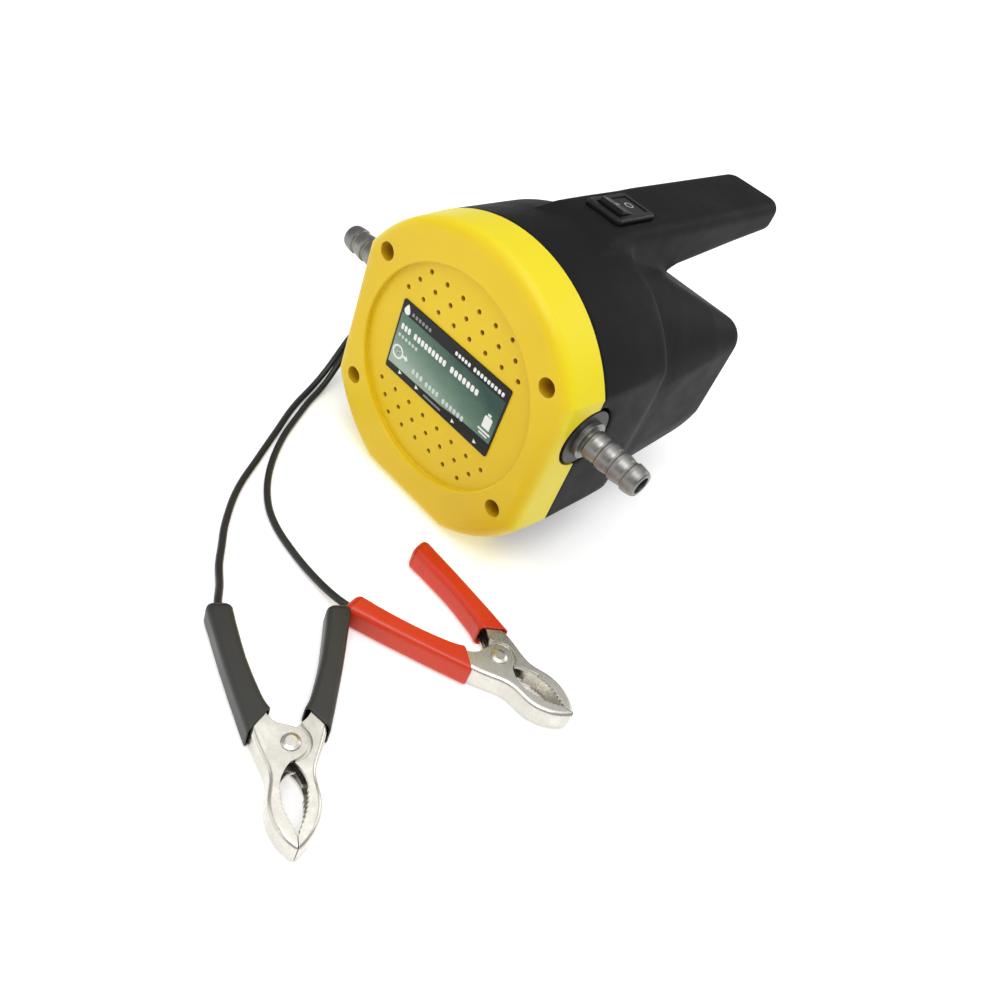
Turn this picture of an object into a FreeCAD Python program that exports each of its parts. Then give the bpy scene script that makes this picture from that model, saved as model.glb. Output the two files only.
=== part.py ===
import FreeCAD, Part
import Sketcher
import math
import os

from FreeCAD import Vector

# Electric fluid transfer pump: a round gear-pump and motor unit in a moulded
# casing with a carrying handle, two hose tails, a rocker switch and a pair of
# battery clamps on a split lead.
#
# Frame: millimetres, +Z up, X across the machine (the outlet is on +X), -Y is
# the front.  The origin lies on the base plane, under the motor axis, in the
# joint plane between front cover and housing.  That plane also holds the axis
# of both ports.

doc = FreeCAD.newDocument("FluidTransferPump")

# ---------------------------------------------------------------- dimensions
# alias, value, note
TABLE = [
    ("axis_height", 52.5, "motor axis above the base"),
    ("rim_radius", 53.8, "outline circle of casing at the joint plane"),
    ("rim_height", 50.1, "centre of the outline circle above the base"),
    ("flat_half", 47.25, "half width over the side flats"),
    ("wall", 3.0, "casing wall"),
    ("cover_depth", 16.8, "front cover, joint plane to face"),
    ("cover_draft", 3.5, "draft angle of the front cover, degrees"),
    ("cover_round", 4.6, "soft edge of the front face"),
    ("cover_cavity", 12.4, "depth of the hollow in the cover"),
    ("dish_radius", 37.4, "recessed disc in the face"),
    ("dish_height", 52.3, "centre of the recessed disc above the base"),
    ("dish_depth", 2.2, "depth of the recessed disc"),
    ("label_width", 51.1, "front label"),
    ("label_tall", 27.1, "front label"),
    ("label_thick", 0.4, "front label"),
    ("label_height", 53.4, "label centre above the base"),
    ("vent_radius", 0.85, "vent hole"),
    ("vent_pitch", 7.35, "vent hole pitch along a row"),
    ("vent_row", 5.1, "vent row pitch"),
    ("vent_first", 18.4, "first vent row from the motor axis"),
    ("boss_x", 36.6, "cover screw from the centre plane"),
    ("boss_z", 25.1, "cover screw from the motor axis"),
    ("boss_radius", 5.5, "cover screw boss"),
    ("screw_well", 3.1, "cover screw counterbore radius"),
    ("well_depth", 9.0, "cover screw counterbore depth"),
    ("screw_clear", 1.75, "cover screw clearance radius"),
    ("screw_core", 1.5, "screw shank radius"),
    ("screw_head", 2.8, "cover screw head radius"),
    ("port_height", 60.9, "port axis above the base"),
    ("notch_radius", 11.0, "round notch in the casing for a port collar"),
    ("collar_radius", 10.0, "port collar of the pump body"),
    ("collar_face", 47.1, "end of a port collar from the centre plane"),
    ("barrel_depth", 36.5, "barrel, joint plane to its rear shoulder"),
    ("tail_depth", 93.5, "joint plane to the back face"),
    ("tail_front_half", 45.2, "rear body half width at the shoulder"),
    ("tail_front_top", 99.8, "rear body top at the shoulder"),
    ("tail_back_half", 43.6, "rear body half width at the back"),
    ("tail_back_top", 77.0, "rear body top at the back"),
    ("handle_top", 106.5, "handle top above the base"),
    ("handle_half", 14.0, "handle half width"),
    ("handle_end", 143.0, "joint plane to the end of the handle"),
    ("switch_y", 46.0, "switch centre behind the joint plane"),
    ("switch_long", 21.0, "switch bezel"),
    ("switch_wide", 15.0, "switch bezel"),
    ("switch_seat", 0.9, "depth of the bezel seat in the handle"),
    ("switch_body", 13.5, "switch body below the bezel"),
    ("gland_y", 20.0, "cable outlet behind the joint plane"),
    ("gland_z", 35.0, "cable outlet above the base"),
    ("gland_radius", 4.1, "cable outlet hole"),
    ("mount_x", 39.5, "pump mounting screw from the centre plane"),
    ("mount_z", 44.5, "pump mounting screw above the base"),
    ("mount_front", 5.0, "front of the mounting lugs behind the joint plane"),
    ("mount_thick", 4.0, "mounting lug thickness"),
    ("lug_radius", 4.5, "mounting lug end, and half height of its arm"),
    ("gasket_thick", 0.3, "pump gasket"),
    ("plate_thick", 3.2, "pump front plate"),
    ("gear_module", 1.4, "gear module"),
    ("gear_face", 9.9, "gear face width"),
    ("chamber_depth", 10.0, "gear chamber"),
    ("chamber_radius", 9.82, "gear chamber"),
    ("pump_radius", 16.5, "pump body round its gears"),
    ("shaft_radius", 2.5, "motor shaft"),
    ("idler_radius", 3.0, "driven gear pin"),
    ("running", 0.03, "radial running clearance"),
    ("seal_radius", 5.5, "shaft seal seat"),
    ("seal_depth", 3.8, "shaft seal seat"),
    ("port_bore", 3.0, "fluid passage radius"),
    ("socket_radius", 4.6, "hose tail socket radius"),
    ("tail_tip", 70.3, "hose tail tip from the centre plane"),
    ("outlet_crest", 5.0, "outlet hose tail crest radius"),
    ("inlet_crest", 4.8, "inlet hose tail crest radius"),
    ("can_radius", 21.0, "motor can"),
    ("can_wall", 1.2, "motor can wall"),
    ("can_front", 12.0, "motor can front face"),
    ("can_back", 66.0, "motor can rear edge"),
    ("cap_thick", 3.0, "motor end cap behind the can"),
    ("bearing_radius", 5.0, "outside of the motor bearings"),
    ("motor_screw_x", 13.3, "motor screw from the centre plane"),
    ("clamp_plane", 4.5, "clamp mid plane above the ground"),
    ("jaw_half", 3.8, "clamp channel half height"),
    ("jaw_sheet", 0.9, "clamp sheet thickness"),
    ("ear_level", 2.85, "outside of the inner pair of clamp ears"),
    ("rivet_radius", 1.5, "clamp rivet"),
    ("sleeve_half", 4.3, "grip sleeve half height"),
    ("lead_radius", 1.2, "supply lead"),
    ("neg_x", 61.8, "negative clamp pivot"),
    ("neg_y", -109.2, "negative clamp pivot"),
    ("neg_turn", -31.5, "negative clamp direction, degrees"),
    ("pos_x", 73.2, "positive clamp pivot"),
    ("pos_y", -41.1, "positive clamp pivot"),
    ("pos_turn", 11.9, "positive clamp direction, degrees"),
]


class Size(float):
    """A length that remembers the sheet expression it comes from."""

    def __new__(cls, value, text):
        size = float.__new__(cls, value)
        size.text = text
        return size

    def _make(self, other, sign, value, swap=False):
        left, right = self.text, words(other)
        if swap:
            left, right = right, left
        return Size(value, "(%s %s %s)" % (left, sign, right))

    def __add__(self, other):
        return self._make(other, "+", float(self) + float(other))

    def __radd__(self, other):
        return self._make(other, "+", float(other) + float(self), True)

    def __sub__(self, other):
        return self._make(other, "-", float(self) - float(other))

    def __rsub__(self, other):
        return self._make(other, "-", float(other) - float(self), True)

    def __mul__(self, other):
        return self._make(other, "*", float(self) * float(other))

    def __rmul__(self, other):
        return self._make(other, "*", float(other) * float(self), True)

    def __truediv__(self, other):
        return self._make(other, "/", float(self) / float(other))

    def __neg__(self):
        return Size(-float(self), "(0 - %s)" % self.text)


def words(value):
    return value.text if isinstance(value, Size) else "(%.6f)" % float(value)


def root(value):
    return Size(math.sqrt(float(value)), "sqrt(%s)" % words(value))


class Dimensions:
    """Holds one Size per alias of the sheet."""


sheet = doc.addObject("Spreadsheet::Sheet", "Dimensions")
dim = Dimensions()
for row, (alias, value, note) in enumerate(TABLE, 1):
    sheet.set("A%d" % row, note)
    sheet.set("B%d" % row, "%g" % value)
    sheet.setAlias("B%d" % row, alias)
    setattr(dim, alias, Size(value, "Dimensions." + alias))
doc.recompute()

# -------------------------------------------------------------------- places
GEAR_TEETH = 12
DRIVE_Z = dim.axis_height
DRIVEN_Z = DRIVE_Z + GEAR_TEETH * dim.gear_module

# distances in front of the joint plane
BLOCK_FACE = dim.chamber_depth / 2
GASKET_FACE = BLOCK_FACE + dim.gasket_thick
PLATE_FACE = GASKET_FACE + dim.plate_thick
DISH_FLOOR = dim.cover_depth - dim.dish_depth

POST_Y = dim.mount_front + dim.mount_thick  # front of the posts that carry the pump
CAP_BACK = dim.can_back + dim.cap_thick
SWITCH_BASE = dim.handle_top - dim.switch_seat
ROCKER_DROP = 0.4  # rocker pivot below the switch base
MOTOR_SEAT = 2.2  # depth of the counterbores for the motor screws
IDLER_BACK = 9.0  # rear end of the driven gear pin

SIDES = (-1, 1)
# screw places as (x, z)
BOSSES = [
    (side * dim.boss_x, dim.axis_height + level * dim.boss_z) for side in SIDES for level in SIDES
]
MOUNTS = [(side * dim.mount_x, dim.mount_z) for side in SIDES]
MOTOR_SCREWS = [(dim.motor_screw_x, DRIVE_Z), (-dim.motor_screw_x, DRIVE_Z)]
PLATE_SCREWS = [(13.4, DRIVEN_Z), (-13.4, DRIVEN_Z), (0.0, DRIVEN_Z + 13.6), (0.0, DRIVE_Z - 13.6)]

# ------------------------------------------------------------------- helpers
# Sketch planes. A positive offset moves XY up, XZ to the front (-Y) and YZ to +X.
# Pads run along the positive offset and pockets against it, unless reversed.
XY, XZ, YZ = "XY_Plane", "XZ_Plane", "YZ_Plane"
PARTS = []


def bind(obj, prop, value):
    if isinstance(value, Size):
        obj.setExpression(prop, value.text)
    else:
        setattr(obj, prop, float(value))


def new_body(label, base=(0, 0, 0), turn=0.0):
    body = doc.addObject("PartDesign::Body", label)
    body.Label = label
    # not every version has this switch
    if "AllowCompound" in body.PropertiesList:
        body.AllowCompound = True
    body.Placement = FreeCAD.Placement(
        Vector(*[float(c) for c in base]), FreeCAD.Rotation(Vector(0, 0, 1), float(turn))
    )
    for axis, place in zip("xyz", base):
        if isinstance(place, Size):
            body.setExpression("Placement.Base." + axis, place.text)
    if isinstance(turn, Size):
        body.setExpression("Placement.Rotation.Angle", turn.text)
    PARTS.append(body)
    return body


def origin(body, role):
    return [f for f in body.Origin.OriginFeatures if f.Role == role][0]


def new_sketch(body, plane, offset=0.0):
    sketch = body.newObject("Sketcher::SketchObject", body.Label + "_sketch")
    sketch.AttachmentSupport = [(origin(body, plane), "")]
    sketch.MapMode = "FlatFace"
    sketch.AttachmentOffset = FreeCAD.Placement(Vector(0, 0, float(offset)), FreeCAD.Rotation())
    if isinstance(offset, Size):
        sketch.setExpression("AttachmentOffset.Base.z", offset.text)
    sketch.Visibility = False
    return sketch


def pin_value(sketch, kind, *where):
    """Add a dimension; the last argument is its value."""
    value = where[-1]
    index = sketch.addConstraint(Sketcher.Constraint(kind, *where[:-1], float(value)))
    if isinstance(value, Size):
        sketch.setExpression("Constraints[%d]" % index, value.text)


def circle(sketch, x, y, radius):
    centre = Vector(float(x), float(y), 0)
    geo = sketch.addGeometry(Part.Circle(centre, Vector(0, 0, 1), float(radius)), False)
    pin_value(sketch, "Radius", geo, radius)
    pin_value(sketch, "DistanceX", geo, 3, x)
    pin_value(sketch, "DistanceY", geo, 3, y)


def flat(point):
    return Vector(float(point[0]), float(point[1]), 0)


def smooth(vectors):
    curve = Part.BSplineCurve()
    curve.interpolate(vectors)
    return curve


def arc_between(start, end, radius, left):
    """Arc from start to end with its centre to the left or right of travel."""
    middle, along = (start + end) * 0.5, end - start
    rise = math.sqrt(max(radius * radius - along.Length**2 / 4.0, 0.0))
    centre = middle + Vector(-along.y, along.x, 0).normalize() * (rise if left else -rise)
    first = math.atan2(start.y - centre.y, start.x - centre.x)
    last = math.atan2(end.y - centre.y, end.x - centre.x)
    if not left:
        first, last = last, first
    if last < first:
        last += 2 * math.pi
    return Part.ArcOfCircle(Part.Circle(centre, Vector(0, 0, 1), radius), first, last)


def is_curve(corner):
    return len(corner) == 3 and isinstance(corner[2], list)


def loop(sketch, points):
    """A closed outline. Each entry is (x, y) for a straight run to the next
    corner, (x, y, r) for an arc of radius r to the next corner, bulging to the
    right of the direction of travel if r > 0 and to the left if r < 0, or
    (x, y, [points]) for a smooth curve through the points to the next corner."""
    count = len(points)
    ends = []  # geometry, start vertex and end vertex of each run
    for i, corner in enumerate(points):
        start, end = flat(corner), flat(points[(i + 1) % count])
        if len(corner) == 2:
            geo = sketch.addGeometry(Part.LineSegment(start, end), False)
            ends.append((geo, 1, 2))
        elif is_curve(corner):
            geo = sketch.addGeometry(smooth([start] + [flat(p) for p in corner[2]] + [end]), False)
            sketch.addConstraint(Sketcher.Constraint("Block", geo))
            ends.append((geo, 1, 2))
        else:
            left = float(corner[2]) > 0
            radius = corner[2] if left else -corner[2]
            geo = sketch.addGeometry(arc_between(start, end, float(radius), left), False)
            pin_value(sketch, "Radius", geo, radius)
            ends.append((geo, 1, 2) if left else (geo, 2, 1))
    for i in range(count):
        geo, _, end = ends[i]
        following, start, _ = ends[(i + 1) % count]
        sketch.addConstraint(Sketcher.Constraint("Coincident", geo, end, following, start))
    for i, corner in enumerate(points):
        # the ends of a blocked curve are fixed already
        if not is_curve(corner) and not is_curve(points[i - 1]):
            geo, start, _ = ends[i]
            pin_value(sketch, "DistanceX", geo, start, corner[0])
            pin_value(sketch, "DistanceY", geo, start, corner[1])


def disks(body, plane, places, radius, offset=0.0):
    """Sketch of equal circles."""
    sketch = new_sketch(body, plane, offset)
    for x, y in places:
        circle(sketch, x, y, radius)
    return sketch


def outlined(body, plane, points, offset=0.0):
    """Sketch of one closed outline."""
    sketch = new_sketch(body, plane, offset)
    loop(sketch, points)
    return sketch


def boxes(body, plane, spans, offset=0.0):
    """Sketch of rectangles, each given as (x0, x1, y0, y1)."""
    sketch = new_sketch(body, plane, offset)
    for x0, x1, y0, y1 in spans:
        loop(sketch, [(x0, y0), (x1, y0), (x1, y1), (x0, y1)])
    return sketch


def span(side, near, far):
    """The range from near to far on one side of the centre plane."""
    return (near, far) if side > 0 else (-far, -near)


def volume(body):
    return body.Shape.Volume if body.Tip else 0.0


def new_feature(body, kind):
    return body.newObject("PartDesign::" + kind, "%s_%s" % (body.Label, kind.lower()))


def settle(body, kind, before):
    """Recompute, and insist that the step added or removed material."""
    doc.recompute()
    change = volume(body) - before
    if kind in ("Pocket", "SubtractiveLoft"):
        change = -change
    if not change > 1e-6:
        raise RuntimeError("%s: a %s changed nothing" % (body.Label, kind))


def extrude(body, kind, sketch, length=None, symmetric=False, reverse=False, taper=None):
    """A pad or pocket; without a length it runs through all."""
    before = volume(body)
    feature = new_feature(body, kind)
    feature.Profile = sketch
    if symmetric:
        # the property's name depends on the version
        if "SideType" in feature.PropertiesList:
            feature.SideType = "Symmetric"
        else:
            feature.Midplane = True
    if length is None:
        feature.Type = "ThroughAll"
    else:
        bind(feature, "Length", length)
    if reverse:
        feature.Reversed = True
    if taper is not None:
        bind(feature, "TaperAngle", taper)
    settle(body, kind, before)
    return feature


def pad(body, sketch, length, **options):
    return extrude(body, "Pad", sketch, length, **options)


def pocket(body, sketch, length=None, **options):
    return extrude(body, "Pocket", sketch, length, **options)


def revolve(body, sketch, axis="H_Axis"):
    before = volume(body)
    feature = new_feature(body, "Revolution")
    feature.Profile = sketch
    feature.ReferenceAxis = (sketch, [axis])
    feature.Angle = 360.0
    settle(body, "Revolution", before)


def turned(body, plane, points, axis="H_Axis"):
    """Revolve an outline of (distance along the axis, radius) points."""
    revolve(body, outlined(body, plane, points), axis)


def loft(body, kind, sections):
    """Loft between sections, each given as (y, outline)."""
    sketches = [outlined(body, XZ, points, -y) for y, points in sections]
    before = volume(body)
    feature = new_feature(body, kind)
    feature.Profile = sketches[0]
    feature.Sections = sketches[1:]
    feature.Ruled = True
    settle(body, kind, before)


def ring(body, feature, count):
    """Repeat a feature evenly about the Y axis of the body."""
    pattern = body.newObject("PartDesign::PolarPattern", body.Label + "_pattern")
    pattern.Originals = [feature]
    pattern.Axis = (origin(body, "Y_Axis"), [""])
    pattern.Angle = 360.0
    pattern.Occurrences = count
    body.Tip = pattern
    doc.recompute()


def dress(body, kind, pick, size):
    """Fillet or chamfer the edges for which pick(edge, box, centre) holds."""
    base = body.Tip
    names = [
        "Edge%d" % (i + 1)
        for i, edge in enumerate(base.Shape.Edges)
        if pick(edge, edge.BoundBox, edge.CenterOfMass)
    ]
    if not names:
        raise RuntimeError("%s: no edge to %s" % (body.Label, kind))
    feature = new_feature(body, kind)
    feature.Base = (base, names)
    bind(feature, "Radius" if kind == "Fillet" else "Size", size)
    doc.recompute()


def at_y(y):
    """Picks the edges that lie in the plane at y."""
    return lambda edge, box, centre: abs(box.YMin - y) < 0.02 and abs(box.YMax - y) < 0.02


def at_levels(half):
    """Picks the edges on the top or bottom face of a plate centred on z = 0."""
    half = float(half)
    return lambda box: abs(box.ZMin - half) < 0.01 or abs(box.ZMax + half) < 0.01


# -------------------------------------------------------------------- casing
def casing_outline(inset=0.0):
    """Casing outline: a circle with two side flats and a flat base."""
    radius = dim.rim_radius - inset
    half = dim.flat_half - inset
    drop = dim.rim_height - inset
    chord = root(radius * radius - drop * drop)
    rise = root(radius * radius - half * half)
    return [
        (-chord, inset),
        (chord, inset, radius),
        (half, dim.rim_height - rise),
        (half, dim.rim_height + rise, radius),
        (-half, dim.rim_height + rise),
        (-half, dim.rim_height - rise, radius),
    ]


def port_notches(body):
    """Round cut across the whole casing on the port axis."""
    pocket(body, disks(body, YZ, [(0, dim.port_height)], dim.notch_radius), 140.0, symmetric=True)


def vent_places():
    """Three vent rows above and three below the motor axis."""
    places = []
    for sign in (1, -1):
        for row, count in enumerate((8, 7, 6)):
            z = dim.axis_height + sign * (dim.vent_first + row * dim.vent_row)
            for i in range(count):
                places.append(((i - (count - 1) / 2.0) * dim.vent_pitch, z))
    return places


def front_cover():
    body = new_body("front_cover")
    on_face = at_y(-float(dim.cover_depth))
    pad(body, outlined(body, XZ, casing_outline()), dim.cover_depth, taper=-dim.cover_draft)
    dress(body, "Fillet", on_face, dim.cover_round)
    dish = disks(body, XZ, [(0, dim.dish_height)], dim.dish_radius, dim.cover_depth)
    pocket(body, dish, dim.dish_depth)

    def dish_edge(edge, box, centre):
        return on_face(edge, box, centre) and abs(box.XLength - 2 * float(dim.dish_radius)) < 0.05

    dress(body, "Fillet", dish_edge, 0.7)
    # hollow, then the screw bosses standing in it
    pocket(body, outlined(body, XZ, casing_outline(dim.wall)), dim.cover_cavity, reverse=True)
    pad(body, disks(body, XZ, BOSSES, dim.boss_radius), dim.cover_cavity + 0.2)
    pocket(body, disks(body, XZ, BOSSES, dim.screw_well, dim.cover_depth), dim.well_depth)
    pocket(body, disks(body, XZ, BOSSES, dim.screw_clear, dim.cover_depth))
    port_notches(body)
    pocket(body, disks(body, XZ, vent_places(), dim.vent_radius, DISH_FLOOR + 0.2), 4.0)


def front_label():
    body = new_body("front_label", (0, 0, dim.label_height))
    half_wide, half_tall = dim.label_width / 2, dim.label_tall / 2
    area = boxes(body, XZ, [(-half_wide, half_wide, -half_tall, half_tall)], DISH_FLOOR)
    pad(body, area, dim.label_thick)

    def corner(edge, box, centre):
        return box.YLength > 0.3 and box.XLength < 0.01 and box.ZLength < 0.01

    dress(body, "Fillet", corner, 0.8)


def screws(label, places, head_y, head_radius, head_tall, shank_radius, length, cross=0.9, dome=0.4):
    """Identical screws driven along +Y, the underside of each head at head_y."""
    body = new_body(label)
    pad(body, disks(body, XZ, places, head_radius, -head_y), head_tall)
    dress(body, "Fillet", at_y(float(head_y) - float(head_tall)), dome)
    pad(body, disks(body, XZ, places, shank_radius, -head_y), length, reverse=True)
    sketch = new_sketch(body, XZ, -head_y + head_tall)
    slot, arm = 0.32, head_radius * 0.62  # half width and reach of the cross
    for x, z in places:
        loop(
            sketch,
            [
                (x - arm, z - slot), (x - slot, z - slot), (x - slot, z - arm),
                (x + slot, z - arm), (x + slot, z - slot), (x + arm, z - slot),
                (x + arm, z + slot), (x + slot, z + slot), (x + slot, z + arm),
                (x - slot, z + arm), (x - slot, z + slot), (x - arm, z + slot),
            ],
        )
    pocket(body, sketch, cross)


def cover_screws():
    seat = dim.well_depth - dim.cover_depth
    screws("cover_screws", BOSSES, seat, dim.screw_head, 2.0, dim.screw_core, 24.0)


def tail_section(half, top, corner, crown, shoulder, low, knee, inset=0.0):
    """One section of the rear body: crown is the half width of its flat top,
    knee and shoulder bound the upright sides, corner and low are arc radii."""
    foot = 18.5 - inset * 0.4
    return [
        (-foot, inset),
        (foot, inset, low),
        (half - inset, knee),
        (half - inset, shoulder, corner),
        (crown, top - inset),
        (-crown, top - inset, corner),
        (inset - half, shoulder),
        (inset - half, knee, low),
    ]


def rear_body(body):
    front = tail_section(
        dim.tail_front_half, dim.tail_front_top,
        corner=46.0, crown=9.0, shoulder=66.0, low=46.0, knee=37.0,
    )
    back = tail_section(
        dim.tail_back_half, dim.tail_back_top,
        corner=7.0, crown=36.6, shoulder=70.0, low=62.0, knee=39.0,
    )
    loft(body, "AdditiveLoft", [(dim.barrel_depth, front), (dim.tail_depth, back)])
    dress(body, "Fillet", at_y(float(dim.tail_depth)), 3.5)


def rear_hollow(body):
    front = tail_section(
        dim.tail_front_half, dim.tail_front_top,
        corner=44.0, crown=8.0, shoulder=65.0, low=44.0, knee=37.0, inset=dim.wall,
    )
    back = tail_section(
        dim.tail_back_half, dim.tail_back_top,
        corner=6.0, crown=35.0, shoulder=69.0, low=60.0, knee=39.0, inset=dim.wall,
    )
    start, end = dim.barrel_depth - dim.wall - 0.5, dim.tail_depth - dim.wall
    loft(body, "SubtractiveLoft", [(start, front), (end, back)])


# side views of the handle as (y, z)
HANDLE = [
    (20.0, 96.0),
    (64.0, 84.0),
    (70.0, 86.9),
    (93.0, 89.5),
    (115.0, 92.0),
    (dim.handle_end, 94.6),
    (dim.handle_end, dim.handle_top),
    (38.0, dim.handle_top),
    (30.0, dim.handle_top - 0.9),
    (20.0, dim.handle_top - 3.6),
]
HANDLE_HOLLOW = [
    (33.0, 90.0),
    (60.0, 80.0),
    (66.0, 89.6),
    (93.0, 92.6),
    (115.0, 95.1),
    (dim.handle_end - 3.2, 97.6),
    (dim.handle_end - 3.2, dim.handle_top - 2.8),
    (33.0, dim.handle_top - 2.8),
]


def handle(body):
    pad(body, outlined(body, YZ, HANDLE), 2 * dim.handle_half, symmetric=True)
    half, end, top = float(dim.handle_half), float(dim.handle_end), float(dim.handle_top)

    def end_corner(edge, box, centre):
        upright = abs(box.YMin - end) < 0.02 and box.ZLength > 8
        return upright and abs(abs(centre.x) - half) < 0.02

    def top_edge(edge, box, centre):
        level = abs(box.ZMin - top) < 0.02 and abs(box.ZMax - top) < 0.02
        return level and centre.y > 60 and (abs(abs(centre.x) - half) < 0.02 or centre.y > 130)

    def underside(edge, box, centre):
        """Lower edges of the handle behind the rise from the rear body."""
        along = box.YLength > 5 and box.XLength < 0.5 and abs(abs(centre.x) - half) < 0.05
        return along and centre.y > 68 and 85 < centre.z < 96

    dress(body, "Fillet", end_corner, 6.0)
    dress(body, "Fillet", top_edge, 4.6)
    dress(body, "Fillet", underside, 3.6)


def posts(body):
    """Screw bosses with ribs to the wall, and the two posts that carry the pump."""
    pad(body, disks(body, XZ, BOSSES, dim.boss_radius), dim.barrel_depth + 1.0, reverse=True)
    near, rib_half = dim.boss_x + 1.0, 1.1
    # height of the rib and how far it stops short of the side flat
    ribs = [(dim.axis_height - dim.boss_z, 1.5), (dim.axis_height + dim.boss_z, 4.5)]
    for side in SIDES:
        spans = [
            (*span(side, near, dim.flat_half - short), z - rib_half, z + rib_half)
            for z, short in ribs
        ]
        pad(body, boxes(body, XZ, spans), dim.barrel_depth - 1.0, reverse=True)
    pad(body, disks(body, XZ, MOUNTS, 5.3, -POST_Y), dim.barrel_depth - POST_Y + 6.0, reverse=True)
    pocket(body, disks(body, XZ, BOSSES, dim.screw_core), 19.0)
    pocket(body, disks(body, XZ, MOUNTS, dim.screw_core, -POST_Y), 16.0)


def casing_openings(body):
    port_notches(body)
    # cable outlet in the left wall
    outlet = disks(body, YZ, [(dim.gland_y, dim.gland_z)], dim.gland_radius, -60.0)
    pocket(body, outlet, 22.0, reverse=True)
    # seat and opening for the switch, as half width, half length and depth
    seat = (dim.switch_wide / 2 + 0.5, dim.switch_long / 2 + 0.5, dim.switch_seat)
    for wide, long, depth in (seat, (6.5, 9.6, 8.0)):
        area = (-wide, wide, dim.switch_y - long, dim.switch_y + long)
        pocket(body, boxes(body, XY, [area], dim.handle_top), depth)


def on_rim(edge, box, centre):
    """Picks the outer edges of the joint face."""
    if not at_y(0)(edge, box, centre) or edge.Length < 12:
        return False
    middle = edge.valueAt((edge.FirstParameter + edge.LastParameter) / 2)
    reach = math.hypot(middle.x, middle.z - float(dim.rim_height))
    on_circle = abs(reach - float(dim.rim_radius)) < 0.05
    return on_circle or abs(abs(middle.x) - float(dim.flat_half)) < 0.05


def housing():
    """Barrel, rear body and handle in one hollow piece, open to the front."""
    body = new_body("housing")
    pad(body, outlined(body, XZ, casing_outline()), dim.barrel_depth, reverse=True)
    rear_body(body)
    handle(body)
    pocket(body, outlined(body, XZ, casing_outline(dim.wall)), dim.barrel_depth - dim.wall)
    rear_hollow(body)
    pocket(body, outlined(body, YZ, HANDLE_HOLLOW), 2 * dim.handle_half - 5.6, symmetric=True)
    posts(body)
    casing_openings(body)
    dress(body, "Chamfer", on_rim, 0.35)


# ---------------------------------------------------------------------- pump
def pump_outline():
    """Outline round both gears: two half circles joined by straight sides."""
    r = dim.pump_radius
    return [
        (r, DRIVE_Z),
        (r, DRIVEN_Z, r),
        (0.0, DRIVEN_Z + r, r),
        (-r, DRIVEN_Z),
        (-r, DRIVE_Z, r),
        (0.0, DRIVE_Z - r, r),
    ]


def pump_body():
    body = new_body("pump_body")
    port = [(0, dim.port_height)]
    block = outlined(body, XZ, pump_outline(), BLOCK_FACE)
    pad(body, block, BLOCK_FACE + dim.can_front, reverse=True)
    collar_start = 40.0
    for side in SIDES:
        left = side < 0
        neck = disks(body, YZ, port, 8.0, side * dim.pump_radius)
        pad(body, neck, dim.collar_face - dim.pump_radius, reverse=left)
        collar = disks(body, YZ, port, dim.collar_radius, side * collar_start)
        pad(body, collar, dim.collar_face - collar_start, reverse=left)
        low, high = dim.mount_z - dim.lug_radius, dim.mount_z + dim.lug_radius
        arm = (*span(side, 12.0, dim.mount_x), low, high)
        pad(body, boxes(body, XZ, [arm], -dim.mount_front), dim.mount_thick, reverse=True)
        place = [(side * dim.mount_x, dim.mount_z)]
        lug = disks(body, XZ, place, dim.lug_radius, -dim.mount_front)
        pad(body, lug, dim.mount_thick, reverse=True)
    for z in (DRIVE_Z, DRIVEN_Z):
        chamber = disks(body, XZ, [(0, z)], dim.chamber_radius, BLOCK_FACE)
        pocket(body, chamber, dim.chamber_depth)
    # fluid passage, hose tail sockets and the recesses at their mouths
    pocket(body, disks(body, YZ, port, dim.port_bore), 120.0, symmetric=True)
    outside = 60.0  # cuts start clear of the collars
    for side in SIDES:
        left = side < 0
        socket = disks(body, YZ, port, dim.socket_radius, side * outside)
        pocket(body, socket, 26.0, reverse=left)
        mouth = disks(body, YZ, port, 6.2, side * outside)
        pocket(body, mouth, outside - dim.collar_face + 1.6, reverse=left)
    # seal seat and shaft hole from the rear, pin hole from the front
    seat = disks(body, XZ, [(0, DRIVE_Z)], dim.seal_radius, -dim.can_front)
    pocket(body, seat, dim.seal_depth, reverse=True)
    shaft = disks(body, XZ, [(0, DRIVE_Z)], dim.shaft_radius + 0.1, -dim.can_front)
    pocket(body, shaft, reverse=True)
    pin = disks(body, XZ, [(0, DRIVEN_Z)], dim.idler_radius, BLOCK_FACE)
    pocket(body, pin, BLOCK_FACE + IDLER_BACK)
    # screw holes
    pocket(body, disks(body, XZ, PLATE_SCREWS, 1.2, BLOCK_FACE), 9.0)
    pocket(body, disks(body, XZ, MOTOR_SCREWS, 1.6, BLOCK_FACE))
    pocket(body, disks(body, XZ, MOTOR_SCREWS, 2.6, BLOCK_FACE), MOTOR_SEAT)
    pocket(body, disks(body, XZ, MOUNTS, 1.7), 12.0)


def pump_gasket():
    body = new_body("pump_gasket")
    pad(body, outlined(body, XZ, pump_outline(), BLOCK_FACE), dim.gasket_thick)
    for z in (DRIVE_Z, DRIVEN_Z):
        pocket(body, disks(body, XZ, [(0, z)], dim.chamber_radius, GASKET_FACE))
    pocket(body, disks(body, XZ, PLATE_SCREWS, 1.3, GASKET_FACE))
    pocket(body, disks(body, XZ, MOTOR_SCREWS, 2.6, GASKET_FACE))


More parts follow.
